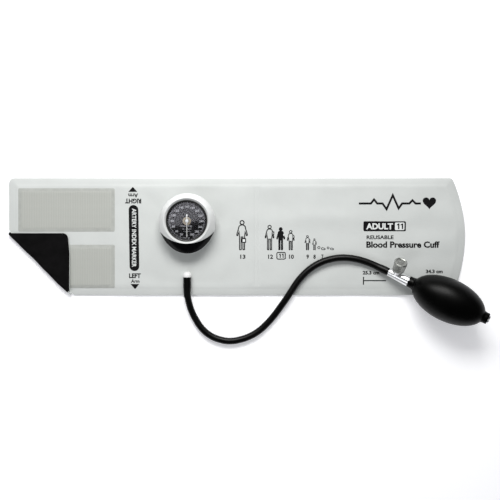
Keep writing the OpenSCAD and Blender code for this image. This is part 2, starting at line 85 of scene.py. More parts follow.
def placed(origin, along, up):
    """Matrix that turns +Z onto along and +X onto up, and moves the origin there."""
    z = along.normalized()
    x = (up - up.dot(z) * z).normalized()
    y = z.cross(x)
    turn = Matrix((x, y, z)).transposed().to_4x4()
    return Matrix.Translation(origin) @ turn


cuff_low, cuff_high = box_mm("cuff_outer_shell")
gauge_at = joint_place("gauge_swivel")
fold_at = joint_place("corner_fold")
bulb_dir = -joint_axis("outlet_ball_lift")
bulb_up = -joint_axis("bulb_squeeze")
screw_at = joint_place("thumbscrew_turn")
screw_dir = joint_axis("thumbscrew_turn")

SLEEVE = 10.0                       # length of the hose's end on the valve's barb
PORT_SLEEVE = 13.4                  # length of the hose's end on the port's barb
HOSE_D = 7.5
HOSE_POINTS = [
    (-55.5, -59, 7.4), (-55, -66.5, 7.4), (-53.5, -74, 6.2), (-51, -82.5, 4.8), (-46.5, -92, 4),
    (-39.5, -102.5, 3.9), (-29.5, -111, 3.9), (-18.5, -115.5, 3.9), (-8, -117, 3.9),
    (3, -115.5, 3.9), (13.5, -112, 3.9), (24, -106, 3.9), (33, -98, 4), (41, -89, 4.4),
    (48, -79.5, 5.6), (54, -71, 7), (60, -62, 7.4), (66.5, -52, 7.2), (73, -44, 7.2),
    (80.5, -37, 7.2), (91, -30.3, 7.2), (104, -25.5, 7.2), (117.5, -23.7, 7.2),
    (132, -25, 7.2), (142, -27.6, 7.3), (151.5, -31.2, 7.6), (160, -35.2, 8.9),
]
port_face = Vector(HOSE_POINTS[0]) + Vector((0, PORT_SLEEVE, 0))
valve_at = Vector(HOSE_POINTS[-1]) + SLEEVE * bulb_dir


# ---- Meshes ----

def add_object(name, data):
    made = bpy.data.objects.new(name, data)
    bpy.context.scene.collection.objects.link(made)
    return made


def mesh_object(name, points, faces, material, sharp=35, smooth=True):
    """A mesh from points in millimetres, shaded smooth except at edges sharper than sharp degrees."""
    mesh = bpy.data.meshes.new(name)
    mesh.from_pydata([tuple(MM * c for c in p) for p in points], [], faces)
    mesh.validate()
    mesh.polygons.foreach_set("use_smooth", [smooth] * len(mesh.polygons))
    if smooth:
        mesh.set_sharp_from_angle(angle=radians(sharp))
    mesh.update()
    if material:
        mesh.materials.append(material)
    return add_object(name, mesh)


def piece(made, body, slot, *nodes):
    """Makes a finished object ride on a body and hides the nodes that it stands for. The slot is not used."""
    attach(made, body)
    if nodes:
        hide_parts(*nodes)
    return made


def loft(name, rings, material, closed=False, sharp=35):
    """Skins rings that all hold the same number of points, with flat ends unless it is closed."""
    n, count = len(rings[0]), len(rings)
    faces = []
    for i in range(count if closed else count - 1):
        a, b = i * n, (i + 1) % count * n
        faces += [(a + k, a + (k + 1) % n, b + (k + 1) % n, b + k) for k in range(n)]
    if not closed:
        faces += [tuple(reversed(range(n))), tuple((count - 1) * n + k for k in range(n))]
    return mesh_object(name, [p for ring in rings for p in ring], faces, material, sharp)


def revolve(name, profile, material, place, steps=96, closed=False, sharp=35):
    """Turns (radius, height) pairs about +Z, then moves the result by the matrix place."""
    angles = [2 * pi * k / steps for k in range(steps)]
    rings = [[place @ Vector((r * cos(a), r * sin(a), z)) for a in angles] for r, z in profile]
    return loft(name, rings, material, closed, sharp)


def arc(cx, cy, r, start, end, steps):
    """Points of an arc, with angles in degrees."""
    span = [radians(start + (end - start) * i / steps) for i in range(steps + 1)]
    return [(cx + r * cos(a), cy + r * sin(a)) for a in span]


def smoothstep(t):
    t = np.clip(t, 0, 1)
    return t * t * (3 - 2 * t)


def cut_with(made, cutter, operation):
    """Applies a boolean with the cutter, and removes the cutter."""
    cut = made.modifiers.new("cut", "BOOLEAN")
    cut.object, cut.operation, cut.solver = cutter, operation, "EXACT"
    baked = bpy.data.meshes.new_from_object(made.evaluated_get(bpy.context.evaluated_depsgraph_get()))
    made.modifiers.clear()
    made.data = baked
    baked.polygons.foreach_set("use_smooth", [True] * len(baked.polygons))
    baked.set_sharp_from_angle(angle=radians(30))
    bpy.data.objects.remove(cutter)
    return made


# ---- Materials ----

class Paint:
    """A Principled material with a few helpers for its texture nodes."""

    def __init__(self, name, colour, roughness, **settings):
        self.material = bpy.data.materials.new(name)
        self.material.use_nodes = True
        self.tree = self.material.node_tree
        self.shader = self.tree.nodes["Principled BSDF"]
        self.colour = (*colour, 1)
        self.shader.inputs["Base Color"].default_value = self.colour
        self.shader.inputs["Roughness"].default_value = roughness
        for key, value in settings.items():
            self.shader.inputs[key.replace("_", " ")].default_value = value
        self.place = self.node("ShaderNodeTexCoord").outputs["Object"]
        self.normal = None

    def node(self, kind, **settings):
        made = self.tree.nodes.new(kind)
        for key, value in settings.items():
            setattr(made, key, value)
        return made

    def link(self, a, b):
        self.tree.links.new(a, b)

    def noise(self, scale, detail=3, rough=0.5):
        made = self.node("ShaderNodeTexNoise")
        made.inputs["Scale"].default_value = scale
        made.inputs["Detail"].default_value = detail
        made.inputs["Roughness"].default_value = rough
        self.link(self.place, made.inputs["Vector"])
        return made.outputs["Fac"]

    def wave(self, axis, pitch, wobble=0.0):
        """Ridges across the axis, a pitch in metres apart."""
        made = self.node("ShaderNodeTexWave", bands_direction=axis, wave_profile="SIN")
        made.inputs["Scale"].default_value = pi / 10 / pitch
        made.inputs["Distortion"].default_value = wobble
        made.inputs["Detail"].default_value = 1
        self.link(self.place, made.inputs["Vector"])
        return made.outputs["Fac"]

    def math(self, operation, a, b):
        made = self.node("ShaderNodeMath", operation=operation)
        for k, value in enumerate((a, b)):
            if isinstance(value, (int, float)):
                made.inputs[k].default_value = value
            else:
                self.link(value, made.inputs[k])
        return made.outputs["Value"]

    def ramp(self, source, low, high, start=0.0, end=1.0):
        """Maps a value from start..end to low..high."""
        made = self.node("ShaderNodeMapRange")
        self.link(source, made.inputs["Value"])
        for key, value in {"From Min": start, "From Max": end, "To Min": low, "To Max": high}.items():
            made.inputs[key].default_value = value
        return made.outputs["Result"]

    def tint(self, source, low, high, start=0.3, end=0.7):
        """Colours the surface from low to high times its own colour."""
        made = self.node("ShaderNodeValToRGB")
        self.link(source, made.inputs["Fac"])
        ends = made.color_ramp.elements
        ends[0].position, ends[1].position = start, end
        ends[0].color = (*[min(1, low * c) for c in self.colour[:3]], 1)
        ends[1].color = (*[min(1, high * c) for c in self.colour[:3]], 1)
        self.link(made.outputs["Color"], self.shader.inputs["Base Color"])

    def rough(self, source, low, high, start=0.3, end=0.7):
        self.link(self.ramp(source, low, high, start, end), self.shader.inputs["Roughness"])

    def bump(self, source, height, strength=1.0):
        """Adds relief that is height metres high, on top of any relief so far."""
        made = self.node("ShaderNodeBump")
        made.inputs["Distance"].default_value = height
        made.inputs["Strength"].default_value = strength
        self.link(source, made.inputs["Height"])
        if self.normal:
            self.link(self.normal, made.inputs["Normal"])
        self.normal = made.outputs["Normal"]
        self.link(self.normal, self.shader.inputs["Normal"])


def make_material(name, colour, roughness, rough=None, bumps=(), tint=None, **settings):
    """A material whose roughness, relief and colour follow noise.

    rough and tint are (grain, low, high) and each bump is (grain, height, strength), where grain
    is what Paint.noise takes.
    """
    paint = Paint(name, colour, roughness, **settings)
    if rough:
        paint.rough(paint.noise(*rough[0]), *rough[1:])
    for grain, height, strength in bumps:
        paint.bump(paint.noise(*grain), height, strength)
    if tint:
        paint.tint(paint.noise(*tint[0]), *tint[1:])
    return paint.material


def make_coated_nylon():
    paint = Paint("coated_nylon", (0.520, 0.538, 0.527), 0.5, Sheen_Weight=0.04)
    warp, weft = [paint.wave(axis, 0.00045, 0.3) for axis in "XY"]
    paint.bump(paint.math("MULTIPLY", warp, weft), 0.00003, 0.6)
    paint.tint(paint.noise(28, 4, 0.6), 0.97, 1.03)
    paint.rough(paint.noise(400), 0.44, 0.58)
    paint.bump(paint.noise(160), 0.00012, 0.35)
    return paint.material


def make_hook_tape():
    paint = Paint("hook_tape", (0.392, 0.402, 0.374), 0.65, Sheen_Weight=0.05)
    ribs = paint.wave("X", 0.0009, 0.5)
    rows = paint.wave("Y", 0.0013, 0.5)
    paint.bump(paint.math("MULTIPLY", ribs, rows), 0.00018, 0.7)
    streaks = paint.node("ShaderNodeMapping")
    streaks.inputs["Scale"].default_value = (1, 0.06, 1)
    paint.link(paint.place, streaks.inputs["Vector"])
    paint.place = streaks.outputs["Vector"]
    weave = paint.math("ADD", paint.wave("X", 0.0027, 1.0), paint.wave("Y", 0.05, 1.0))
    paint.tint(paint.math("MULTIPLY", weave, paint.noise(420, 3, 0.7)), 0.93, 1.06, 0.1, 1.1)
    return paint.material


def make_ink(name, colour, roughness=0.42, shine=0.5):
    return make_material(name, colour, roughness, ((700, 2), roughness - 0.06, roughness + 0.1),
                         [((1500, 2), 0.00002, 0.3)], Specular_IOR_Level=shine)


def make_plastic(name, colour, roughness, grain=0.00002, shine=0.5, coat=0.15):
    return make_material(name, colour, roughness, ((350, 3), roughness - 0.04, roughness + 0.06),
                         [((1800, 2), grain, 0.3)], ((60, 3), 0.985, 1.01),
                         Coat_Weight=coat, Coat_Roughness=0.15, Specular_IOR_Level=shine)


def make_rubber(name, colour, roughness, spread=0.08, shine=0.5):
    bloom = (45, 5, 0.65)
    return make_material(name, colour, roughness, (bloom, roughness - spread, roughness + spread),
                         [((1500, 3), 0.00004, 0.35)], (bloom, 0.75, 1.35),
                         Specular_IOR_Level=shine)


def make_metal(name, colour, roughness, grain=0.00001, dust=0.04):
    return make_material(name, colour, roughness, ((300, 4, 0.7), roughness - dust, roughness + dust),
                         [((2500, 2), grain, 0.25)], ((120, 3), 0.94, 1.04), Metallic=1.0)


NYLON = make_coated_nylon()
LINING = make_material("black_lining", (0.0028, 0.0026, 0.0028), 0.9, None,
                       [((2600, 2), 0.00018, 0.6), ((60, 3), 0.0004, 0.3)],
                       ((90, 4, 0.65), 0.6, 1.6), Sheen_Weight=0.006, Specular_IOR_Level=0.08)
HOOK = make_hook_tape()
WELD = make_material("welded_tape_edge", (0.355, 0.365, 0.343), 0.55, None,
                     [((500, 2), 0.0001, 0.4)], ((200, 3), 0.93, 1.06))
INK = make_ink("black_ink", (0.003, 0.003, 0.0035), 0.5, 0.15)
WHITE_INK = make_ink("white_ink", (0.66, 0.68, 0.67))
BEZEL = make_plastic("light_plastic", (0.63, 0.64, 0.635), 0.34)
PORT = make_plastic("port_plastic", (0.72, 0.72, 0.715), 0.34)
CHIN = make_plastic("black_gloss_plastic", (0.003, 0.003, 0.0035), 0.16, 0.000005, 0.12, 0.0)
RIM = make_plastic("black_rim", (0.003, 0.003, 0.003), 0.45)
SEAL = make_rubber("seal_rubber", (0.006, 0.006, 0.006), 0.6)
HOSE = make_rubber("hose_rubber", (0.0018, 0.0018, 0.0018), 0.36, 0.05, 0.2)
BULB = make_rubber("bulb_rubber", (0.0008, 0.0008, 0.0007), 0.38, 0.05, 0.12)
CHROME = make_metal("chrome", (0.88, 0.89, 0.90), 0.30, 0.000004, 0.03)
KNOB = make_metal("brushed_knob", (0.36, 0.37, 0.35), 0.40, 0.00003, 0.08)
STEEL = make_metal("steel", (0.62, 0.62, 0.63), 0.3)
BRASS = make_metal("brass", (0.74, 0.62, 0.40), 0.3)
DIAL = make_material("dial_black", (0.002, 0.002, 0.0025), 0.6, ((900, 2), 0.45, 0.65),
                     [((3000, 2), 0.00001, 0.4)], Specular_IOR_Level=0.08)
DIAL_INK = make_ink("dial_white", (0.50, 0.50, 0.53), 0.5)
POINTER = make_ink("pointer_white", (0.88, 0.88, 0.86), 0.4)
LENS = make_material("lens_acrylic", (0.97, 0.98, 1.0), 0.1, tint=((300, 2), 0.985, 1.0),
                     Transmission_Weight=1.0, IOR=1.49)


# ---- Camera and floor ----

def make_camera():
    """Straight down from a metre above, with the long side of the cuff level."""
    at = Vector((14.6, -15.1, 1000.0))
    width = 560.0                   # what the frame shows at the cuff's face
    lens = bpy.data.cameras.new("camera")
    lens.sensor_width = 36
    lens.lens = lens.sensor_width * (at.z - cuff_high.z) / width
    lens.clip_start, lens.clip_end = 0.01, 20
    camera = add_object("camera", lens)
    camera.location = at * MM
    bpy.context.scene.camera = camera


def make_floor():
    half = 9000
    paper = make_material("floor_paper", (0.95, 0.95, 0.965), 0.9, tint=((20, 2), 0.995, 1.0),
                          Specular_IOR_Level=0.1, Emission_Color=(0.97, 0.97, 1.0, 1),
                          Emission_Strength=0.21)
    corners = [(-half, -half, 0), (half, -half, 0), (half, half, 0), (-half, half, 0)]
    floor = mesh_object("floor", corners, [(0, 1, 2, 3)], paper, smooth=False)


def area_light(name, at, target, size, power, colour):
    light = bpy.data.lights.new(name, "AREA")
    light.shape = "RECTANGLE"
    light.size, light.size_y = size
    light.energy, light.color = power, colour
    made = add_object(name, light)
    made.location = at
    made.rotation_euler = (Vector(target) - Vector(at)).to_track_quat("-Z", "Y").to_euler()
    return made


def make_lights():
    bpy.context.scene.view_settings.view_transform = "Standard"
    bpy.context.scene.view_settings.look = "None"
    world = bpy.data.worlds.new("studio")
    bpy.context.scene.world = world
    world.use_nodes = True
    tree = world.node_tree
    back = tree.nodes["Background"]
    back.inputs["Color"].default_value = (0.97, 0.98, 1.0, 1)
    rays = tree.nodes.new("ShaderNodeLightPath")
    strength = tree.nodes.new("ShaderNodeMapRange")      # a dark room for whatever mirrors it
    strength.inputs["To Min"].default_value = 0.36
    strength.inputs["To Max"].default_value = 0.04
    tree.links.new(rays.outputs["Is Glossy Ray"], strength.inputs["Value"])
    tree.links.new(strength.outputs["Result"], back.inputs["Strength"])
    key = area_light("key", (-0.04, 0.56, 0.65), (-0.07, 0.01, 0), (0.66, 0.35), 4.05,
                     (1.0, 0.997, 0.985))
    key.data.spread = radians(120)
    kicker = area_light("kicker", (0.30, 0.95, 0.74), (0.2, -0.05, 0), (0.55, 0.4), 0.8,
                        (1.0, 1.0, 0.98))
    fill = area_light("fill", (-0.9, -1.0, 1.5), (0, 0, 0), (0.9, 0.9), 6.5, (0.97, 0.98, 1.0))
    return key, kicker, fill


# ---- Hose ----

def make_hose():
    """One cord from the port's face to the valve's, with a sleeve where each end is stretched."""
    route = [port_face, *map(Vector, HOSE_POINTS), valve_at]
    curve = bpy.data.curves.new("hose", "CURVE")
    curve.dimensions = "3D"
    curve.bevel_depth = HOSE_D / 2 * MM
    curve.bevel_resolution = 10
    curve.resolution_u = 6
    spline = curve.splines.new("BEZIER")
    spline.bezier_points.add(len(route) - 1)
    for point, at in zip(spline.bezier_points, route):
        point.co = at * MM
        point.handle_left_type = point.handle_right_type = "AUTO"
    ends = ((0, Vector((0, -1, 0)), PORT_SLEEVE), (-1, bulb_dir, SLEEVE))
    for index, along, reach in ends:
        point = spline.bezier_points[index]
        point.handle_left_type = point.handle_right_type = "ALIGNED"
        point.handle_left = point.co - along * reach / 3 * MM
        point.handle_right = point.co + along * reach / 3 * MM
    hose = add_object("hose", curve)
    curve.materials.append(HOSE)
    piece(hose, "root", "hose_rubber", "hose_tube")
    sleeves = [
        make_sleeve("hose_end_port", port_face, Vector((0, -1, 0)), PORT_SLEEVE, "hose_sleeve_port"),
        make_sleeve("hose_end_valve", valve_at, -bulb_dir, SLEEVE, "hose_sleeve_valve"),
    ]


def make_sleeve(name, at, along, length, node):
    """The hose's wall where a barb stretches it: full at the face, with a swell over the barb."""
    wide, thin, bore = 4.25, HOSE_D / 2 + 0.03, 3.2
    lip, taper = 0.45, 9.0
    whole = length + taper
    profile = [(bore, 0.02), (wide - 0.25, 0.02), (wide - 0.05, 0.18), (wide, lip)]
    for i in range(1, 13):
        t = i / 12
        swell = 0.12 * sin(pi * min(1, t * 1.6)) ** 2
        narrowing = float(smoothstep((t * whole - length + 4) / (taper + 3)))
        profile.append((wide + swell - (wide - thin) * narrowing, lip + t * (whole - lip)))
    profile.append((bore, whole + 0.1))
    sleeve = revolve(name, profile, HOSE, placed(at, along, Vector((0, 0, 1))), steps=48)
    return piece(sleeve, "root", "hose_rubber", node)


# ---- Cuff: plan ----

CUFF_R = 6.0                        # rounded corners at the square end
TIP_R = 5.0                         # rounded corners at the rounded end
END_R = 154.0                       # the rounded end itself
FOLD_GAP = 2.5                      # flat layers stop this far from the fold line
fold_sum = fold_at.x + fold_at.y    # the fold line is x + y = this
HALF_LENGTH = 255.5
LOW_Y, HIGH_Y, LEFT_X = cuff_low.y, cuff_high.y, -HALF_LENGTH


def cuff_outline(inset=0.0, step=2.0):
    """The whole cuff's outline before its corner is folded, moved inwards, anticlockwise."""
    half, left = HIGH_Y - inset, LEFT_X + inset
    r, tip = max(0.8, CUFF_R - inset), max(0.8, TIP_R - inset)
    big = END_R - inset
    end_x = HALF_LENGTH - END_R
    slope = np.arcsin((half - tip) / (big - tip))       # where the tip's arc meets the end's arc
    tip_x = end_x + (big - tip) * cos(slope)
    turn = np.degrees(slope)
    outline = arc(left + r, r - half, r, 180, 270, 5)
    outline += arc(tip_x, tip - half, tip, 270, 360 - turn, 5)
    outline += arc(end_x, 0, big, -turn, turn, ceil(2 * slope * big / step))
    outline += arc(tip_x, half - tip, tip, turn, 90, 5)
    outline += arc(left + r, half - r, r, 90, 180, 5)
    return spaced(outline, step)


def spaced(loop, step):
    """A closed loop with extra points on its long sides."""
    out = []
    for a, b in zip(loop, loop[1:] + loop[:1]):
        parts = max(1, ceil(hypot(b[0] - a[0], b[1] - a[1]) / step))
        out += [(a[0] + (b[0] - a[0]) * i / parts, a[1] + (b[1] - a[1]) * i / parts)
                for i in range(parts)]
    return [p for i, p in enumerate(out) if hypot(p[0] - out[i - 1][0], p[1] - out[i - 1][1]) > 0.05]


def fold_distance(p):
    """How far a point lies beyond the fold line, towards the corner."""
    return (fold_sum - p[0] - p[1]) / sqrt(2)


def side_of_fold(loop, corner):
    """The part of a convex loop on one side of the fold line, FOLD_GAP away from it."""
    sign = 1 if corner else -1
    depth = [sign * fold_distance(p) - FOLD_GAP for p in loop]
    out = []
    for i, p in enumerate(loop):
        before, d0, d1 = loop[i - 1], depth[i - 1], depth[i]
        if (d0 < 0) != (d1 < 0):
            t = d0 / (d0 - d1)
            out.append((before[0] + (p[0] - before[0]) * t, before[1] + (p[1] - before[1]) * t))
        if d1 >= 0:
            out.append(p)
    return out


def inside(points, loop):
    """Which points lie inside a loop, by crossings."""
    x, y = points[:, 0], points[:, 1]
    result = np.zeros(len(points), bool)
    for (x0, y0), (x1, y1) in zip(loop, loop[1:] + loop[:1]):
        if y0 != y1:
            result ^= ((y0 > y) != (y1 > y)) & (x < (x1 - x0) * (y - y0) / (y1 - y0) + x0)
    return result


def distance_to(points, loop):
    """Distance from each point to a closed loop."""
    points = np.asarray(points, float)
    best = np.full(len(points), 1e9)
    for a, b in zip(loop, loop[1:] + loop[:1]):
        a, b = np.array(a), np.array(b)
        side = b - a
        t = np.clip(((points - a) @ side) / max(side @ side, 1e-12), 0, 1)
        best = np.minimum(best, np.linalg.norm(points - a - t[:, None] * side, axis=1))
    return best


def upward(flat, faces, least=0.0):
    """Triangles turned anticlockwise, without those whose area is very small."""
    turned = []
    for a, b, c in faces:
        (ux, uy), (vx, vy) = flat[b] - flat[a], flat[c] - flat[a]
        area = ux * vy - uy * vx
        if abs(area) >= least:
            turned.append((a, b, c) if area > 0 else (a, c, b))
    return turned


def triangulate(loop, lines=(), grid=(), holes=()):
    """Triangles of a region, with extra edge lines and free points inside it."""
    points, edges = [], []
    for run, closed in [(loop, True)] + [(h, True) for h in holes] + [(line, False) for line in lines]:
        base = len(points)
        points += [Vector(p) for p in run]
        last = len(run) if closed else len(run) - 1
        edges += [(base + i, base + (i + 1) % len(run)) for i in range(last)]
    points += [Vector(p) for p in grid]
    made, _, faces, *_ = delaunay_2d_cdt(points, edges, [], 0, 1e-5)
    flat = np.array([tuple(p) for p in made])
    middle = np.array([flat[list(f)].mean(0) for f in faces])
    keep = inside(middle, loop)
    for hole in holes:
        keep &= ~inside(middle, hole)
    faces = [tuple(f) for f, k in zip(faces, keep) if k]
    used = sorted({i for f in faces for i in f})
    number = {old: new for new, old in enumerate(used)}
    flat = flat[used]
    return flat, upward(flat, [tuple(number[i] for i in f) for f in faces])


def rim_edges(faces):
    """Directed edges that belong to one face only."""
    seen = {(f[i], f[(i + 1) % len(f)]) for f in faces for i in range(len(f))}
    return [(a, b) for a, b in seen if (b, a) not in seen]


def slab(name, flat, faces, low, high, material, sharp=35):
    """A closed sheet over flat triangles, between the heights low and high of each point."""
    n = len(flat)
    points = [(x, y, z) for (x, y), z in zip(flat, high)] + [(x, y, z) for (x, y), z in zip(flat, low)]
    walls = [(b, a, a + n, b + n) for a, b in rim_edges(faces)]
    under = [tuple(i + n for i in reversed(f)) for f in faces]
    return mesh_object(name, points, list(faces) + under + walls, material, sharp)


def hex_grid(low, high, step):
    rows = int((high[1] - low[1]) / (step * 0.866)) + 1
    columns = int((high[0] - low[0]) / step) + 1
    return np.array([(low[0] + (c + 0.5 * (r % 2)) * step, low[1] + r * step * 0.866)
                     for r in range(rows) for c in range(columns)])


# ---- Cuff: relief ----

BORDER = 6.0                        # width of the welded border
BORDER_RISE = 3.4                   # width of the step up from the border
BORDER_T = 2.35                     # thickness of the border
EDGE_T = 1.9                        # thickness at the very edge
CUFF_T = cuff_high.z - cuff_low.z
LINING_T = 0.5
BLADDER_END = (20.2, 24.2)          # the two weld lines at the bladder's end
OUTLINE = cuff_outline()
HOOK_HIGH = (-244.9, 5.5, -136.9, 54)           # the two tapes: left, low, right, high
HOOK_LOW = (-244.9, -57.7, -136.9, -9.2)

# Soft creases of the face: from, to, half width, height
CREASES = [
    ((58, 19), (131, 17), 8, 0.5),
    ((60, 6), (125, 0), 10, -0.35),
    ((36, 31), (46, 33), 8, -0.3),
    ((190, 8), (246, 7), 9, -0.45),
    ((185, -11), (246, -13), 10, 0.4),
    ((196, 27), (244, 26), 10, 0.35),
    ((185, -28), (240, -29), 9, -0.35),
    ((82, -50), (170, -48), 9, 0.35),
    ((-101, 44), (-92, 33), 7, -0.4),
    ((-101, -45), (-76, -53), 9, -0.45),
    ((-40, -50), (-14, -54), 8, -0.35),
    ((-93, -5), (-88, -44), 8, 0.35),
    ((-18, -40), (2, -18), 9, 0.3),
    ((-6, 40), (30, 50), 10, 0.3),
    ((120, 46), (180, 54), 9, -0.3),
    ((-20, 22), (14, 6), 9, -0.25),
]


def crease_relief(flat):
    total = np.zeros(len(flat))
    for start, end, width, height in CREASES:
        a, b = np.array(start, float), np.array(end, float)
        side = b - a
        length = np.linalg.norm(side)
        along = ((flat - a) @ side) / length
        across = ((flat - a) @ np.array([-side[1], side[0]])) / length
        bend = 0.06 * length * np.sin(2.2 * np.clip(along / length, 0, 1))
        past = np.maximum(0, np.maximum(-along, along - length))
        total += height * np.exp(-((across - bend) / width) ** 2 - (past / (1.6 * width)) ** 2)
    for reach, height, seed in ((58, 0.5, 3), (27, 0.28, 11), (13, 0.1, 29)):
        total += height * np.array([noise.noise(Vector((x / reach * 0.8, y / reach, seed)))
                                    for x, y in flat])
    return total


def edge_lift(flat):
    """How far the cuff's edges stand off what it lies on, in long lazy waves."""
    x, y = flat[:, 0], flat[:, 1]
    near_side = smoothstep((np.abs(y) - 35) / 30.5)
    near_end = smoothstep((x - 195) / 60)
    side_wave = 0.5 + 0.5 * np.sin(x / 21 + np.where(y > 0, 0.4, 2.1)) * np.cos(x / 57)
    end_wave = 0.5 + 0.5 * np.sin(y / 11 + 0.6)
    return 0.9 * near_side * side_wave + 1.0 * near_end * end_wave


def groove(values, at, width, depth):
    return -depth * np.exp(-((values - at) / width) ** 2)


def cuff_heights(flat):
    """Underside and face heights of the whole cuff, unfolded, at flat points."""
    flat = np.asarray(flat, float)
    edge = distance_to(flat, OUTLINE)
    base = edge_lift(flat) * (1 - smoothstep((fold_distance(flat.T) + 40) / 30))
    thick = EDGE_T + (BORDER_T - EDGE_T) * smoothstep(edge / 1.4)
    thick += (CUFF_T - BORDER_T) * smoothstep((edge - BORDER) / BORDER_RISE)
    within = smoothstep((edge - BORDER) / 8)
    tape = (flat[:, 0] < -134) & (np.abs(flat[:, 1]) < 60)
    relief = crease_relief(flat) * within * np.where(tape, 0.4, 1)
    inner = smoothstep((edge - BORDER - BORDER_RISE) / 2)
    for at in BLADDER_END:
        relief += groove(flat[:, 0], at, 0.7, 0.32) * inner
    between = smoothstep(flat[:, 0] - BLADDER_END[0]) * smoothstep(BLADDER_END[1] - flat[:, 0])
    relief -= 0.12 * between
    return base, base + thick + relief


def feature_lines(corner):
    """Runs that follow the border's step and the bladder's end weld, on one side of the fold."""
    runs = [cuff_outline(e, 2.5) for e in (0.5, 1.4, BORDER, BORDER + BORDER_RISE / 2,
                                           BORDER + BORDER_RISE)]
    lines = []
    for run in runs:
        closed = run + run[:1]
        keep = [(1 if corner else -1) * fold_distance(p) > FOLD_GAP + 0.6 for p in closed]
        line = []
        for p, ok in zip(closed, keep):
            if ok:
                line.append(p)
            if not ok or p == closed[-1]:
                if len(line) > 1:
                    lines.append(line)
                line = []
    if not corner:
        reach = HIGH_Y - BORDER - BORDER_RISE - 1
        for at in BLADDER_END:
            for off in (-1.3, -0.6, 0, 0.6, 1.3):
                lines.append([(at + off, -reach + 2 * reach * i / 50) for i in range(51)])
    return lines


def cuff_grid(loop, step):
    grid = hex_grid((LEFT_X, LOW_Y), (HALF_LENGTH, HIGH_Y), step)
    return grid[inside(grid, loop)]


def make_cover(name, corner):
    """The printed layer, flat and at its own heights, on one side of the fold."""
    loop = spaced(side_of_fold(OUTLINE, corner), 2.0)
    grid = cuff_grid(loop, 3.0)
    keep = distance_to(grid, OUTLINE) > BORDER + BORDER_RISE + 1
    keep &= np.abs(fold_distance(grid.T)) > FOLD_GAP + 0.8
    if not corner:
        weld = 2.2                  # room on each side for the lines along the bladder's end
        keep &= (grid[:, 0] <= BLADDER_END[0] - weld) | (grid[:, 0] >= BLADDER_END[1] + weld)
    flat, faces = triangulate(loop, feature_lines(corner), grid[keep])
    low, high = cuff_heights(flat)
    return slab(name, flat, faces, low + LINING_T, high, NYLON, sharp=50)


def turn_over(made):
    """Turns a mesh half round the fold line. It sinks towards its free edges and bows a little."""
    for v in made.data.vertices:
        x, y, z = v.co / MM
        x, y, z = fold_sum - y, fold_sum - x, 2 * fold_at.z - z
        from_fold = -fold_distance((x, y))
        sink = 1.5 * float(smoothstep((from_fold - 8) / 34))
        pull = float(smoothstep((x + 210) / 20) * smoothstep(from_fold / 6))
        pull *= 0.7 + 1.9 * float(smoothstep((y + 22) / 26))
        v.co = Vector((x - pull, y, z - sink)) * MM
    made.data.update()


def make_cuff():
    """The cuff's two layers, flat part and folded corner, and the roll that joins them."""
    cover, flap = make_cover("cuff_cover", False), make_cover("flap_cover", True)
    lining, flap_lining = make_lining("cuff_lining", False), make_lining("flap_lining", True)
    turn_over(flap)
    turn_over(flap_lining)
    piece(cover, "root", "cuff_fabric", "cuff_outer_shell")
    piece(lining, "root", "lining_fabric", "inner_lining")
    piece(flap, "corner_flap", "cuff_fabric", "corner_flap_shell")
    piece(flap_lining, "corner_flap", "lining_fabric", "corner_flap_lining")

    rolls = [
        make_roll("fold_cover", True, NYLON, 0.3, 0),
        make_roll("fold_lining", False, LINING, 0.8, 3.6),
    ]
    return cover


def make_lining(name, corner):
    """The black layer that lies on the arm, a little smaller than the cover."""
    loop = spaced(side_of_fold(cuff_outline(0.35 if corner else 1.2), corner), 3.0)
    grid = cuff_grid(loop, 5.0)
    flat, faces = triangulate(loop, (), grid[distance_to(grid, loop) > 2])
    low, _ = cuff_heights(flat)
    return slab(name, flat, faces, low, low + LINING_T, LINING, sharp=50)


def make_roll(name, is_cover, material, margin, short):
    """Where a layer turns over: half an oval about the fold line.

    It starts margin inside the cuff's upper left edge, and ends margin and short before the other.
    """
    start = Vector((LEFT_X, fold_sum - LEFT_X))
    end = Vector((fold_sum - LOW_Y, LOW_Y))
    along = (end - start).normalized()
    out = Vector((-1, -1)) / sqrt(2)
    stations, reach, half = 64, 3.6, fold_at.z
    turns = [3, 6, 9, 12, 17, 24, 33, 45, 60, 75, 90]
    turns = [-t for t in reversed(turns)] + [0] + turns
    first = margin * sqrt(2)
    length = (end - start).length - 2 * first - short
    rings = []
    for i in range(stations + 1):
        s = first + length * i / stations
        on_line = start + along * s
        low, high = cuff_heights([tuple(on_line - out * FOLD_GAP)])
        outer, inner = (LINING_T, float(high[0] - low[0])) if is_cover else (0, LINING_T)
        ripple = 0.25 * sin(s / 9.0) + 0.15 * sin(s / 4.1 + 1)
        ring = []
        for depth, order in ((outer, turns), (inner, turns[::-1])):
            a = max(0.35, reach + ripple - depth)
            for t in order:
                flat = on_line + out * (a * cos(radians(t)) - FOLD_GAP)
                ring.append((flat.x, flat.y, half + (half - depth) * sin(radians(t))))
        rings.append(ring)
    made = loft(name, rings, material, sharp=50)
    if is_cover:
        made.data.materials.append(HOOK)        # the tape runs on through the fold, on its inner face
        per = len(rings[0])
        for i in range(stations):
            if HOOK_LOW[1] < rings[i][0][1] < HOOK_LOW[3]:
                for k in range(per // 2, per - 1):
                    made.data.polygons[i * per + k].material_index = 1
    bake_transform(made)
    return made


# ---- Print on flat and curved faces ----

def mitre(a, b):
    """Sideways step at a corner between two directions that keeps a line's width even."""
    na, nb = Vector((-a.y, a.x)), Vector((-b.y, b.x))
    mid = na + nb
    mid = mid.normalized() if mid.length > 1e-6 else na
    return mid / max(0.35, mid.dot(na))


def offset_loop(loop, distance):
    """Moves each side of an anticlockwise loop inwards by distance, with mitred corners."""
    out = []
    for i, p in enumerate(loop):
        at, before, after = Vector(p), Vector(loop[i - 1]), Vector(loop[(i + 1) % len(loop)])
        step = mitre((at - before).normalized(), (after - at).normalized())
        out.append(tuple(at + step * distance))
    return out


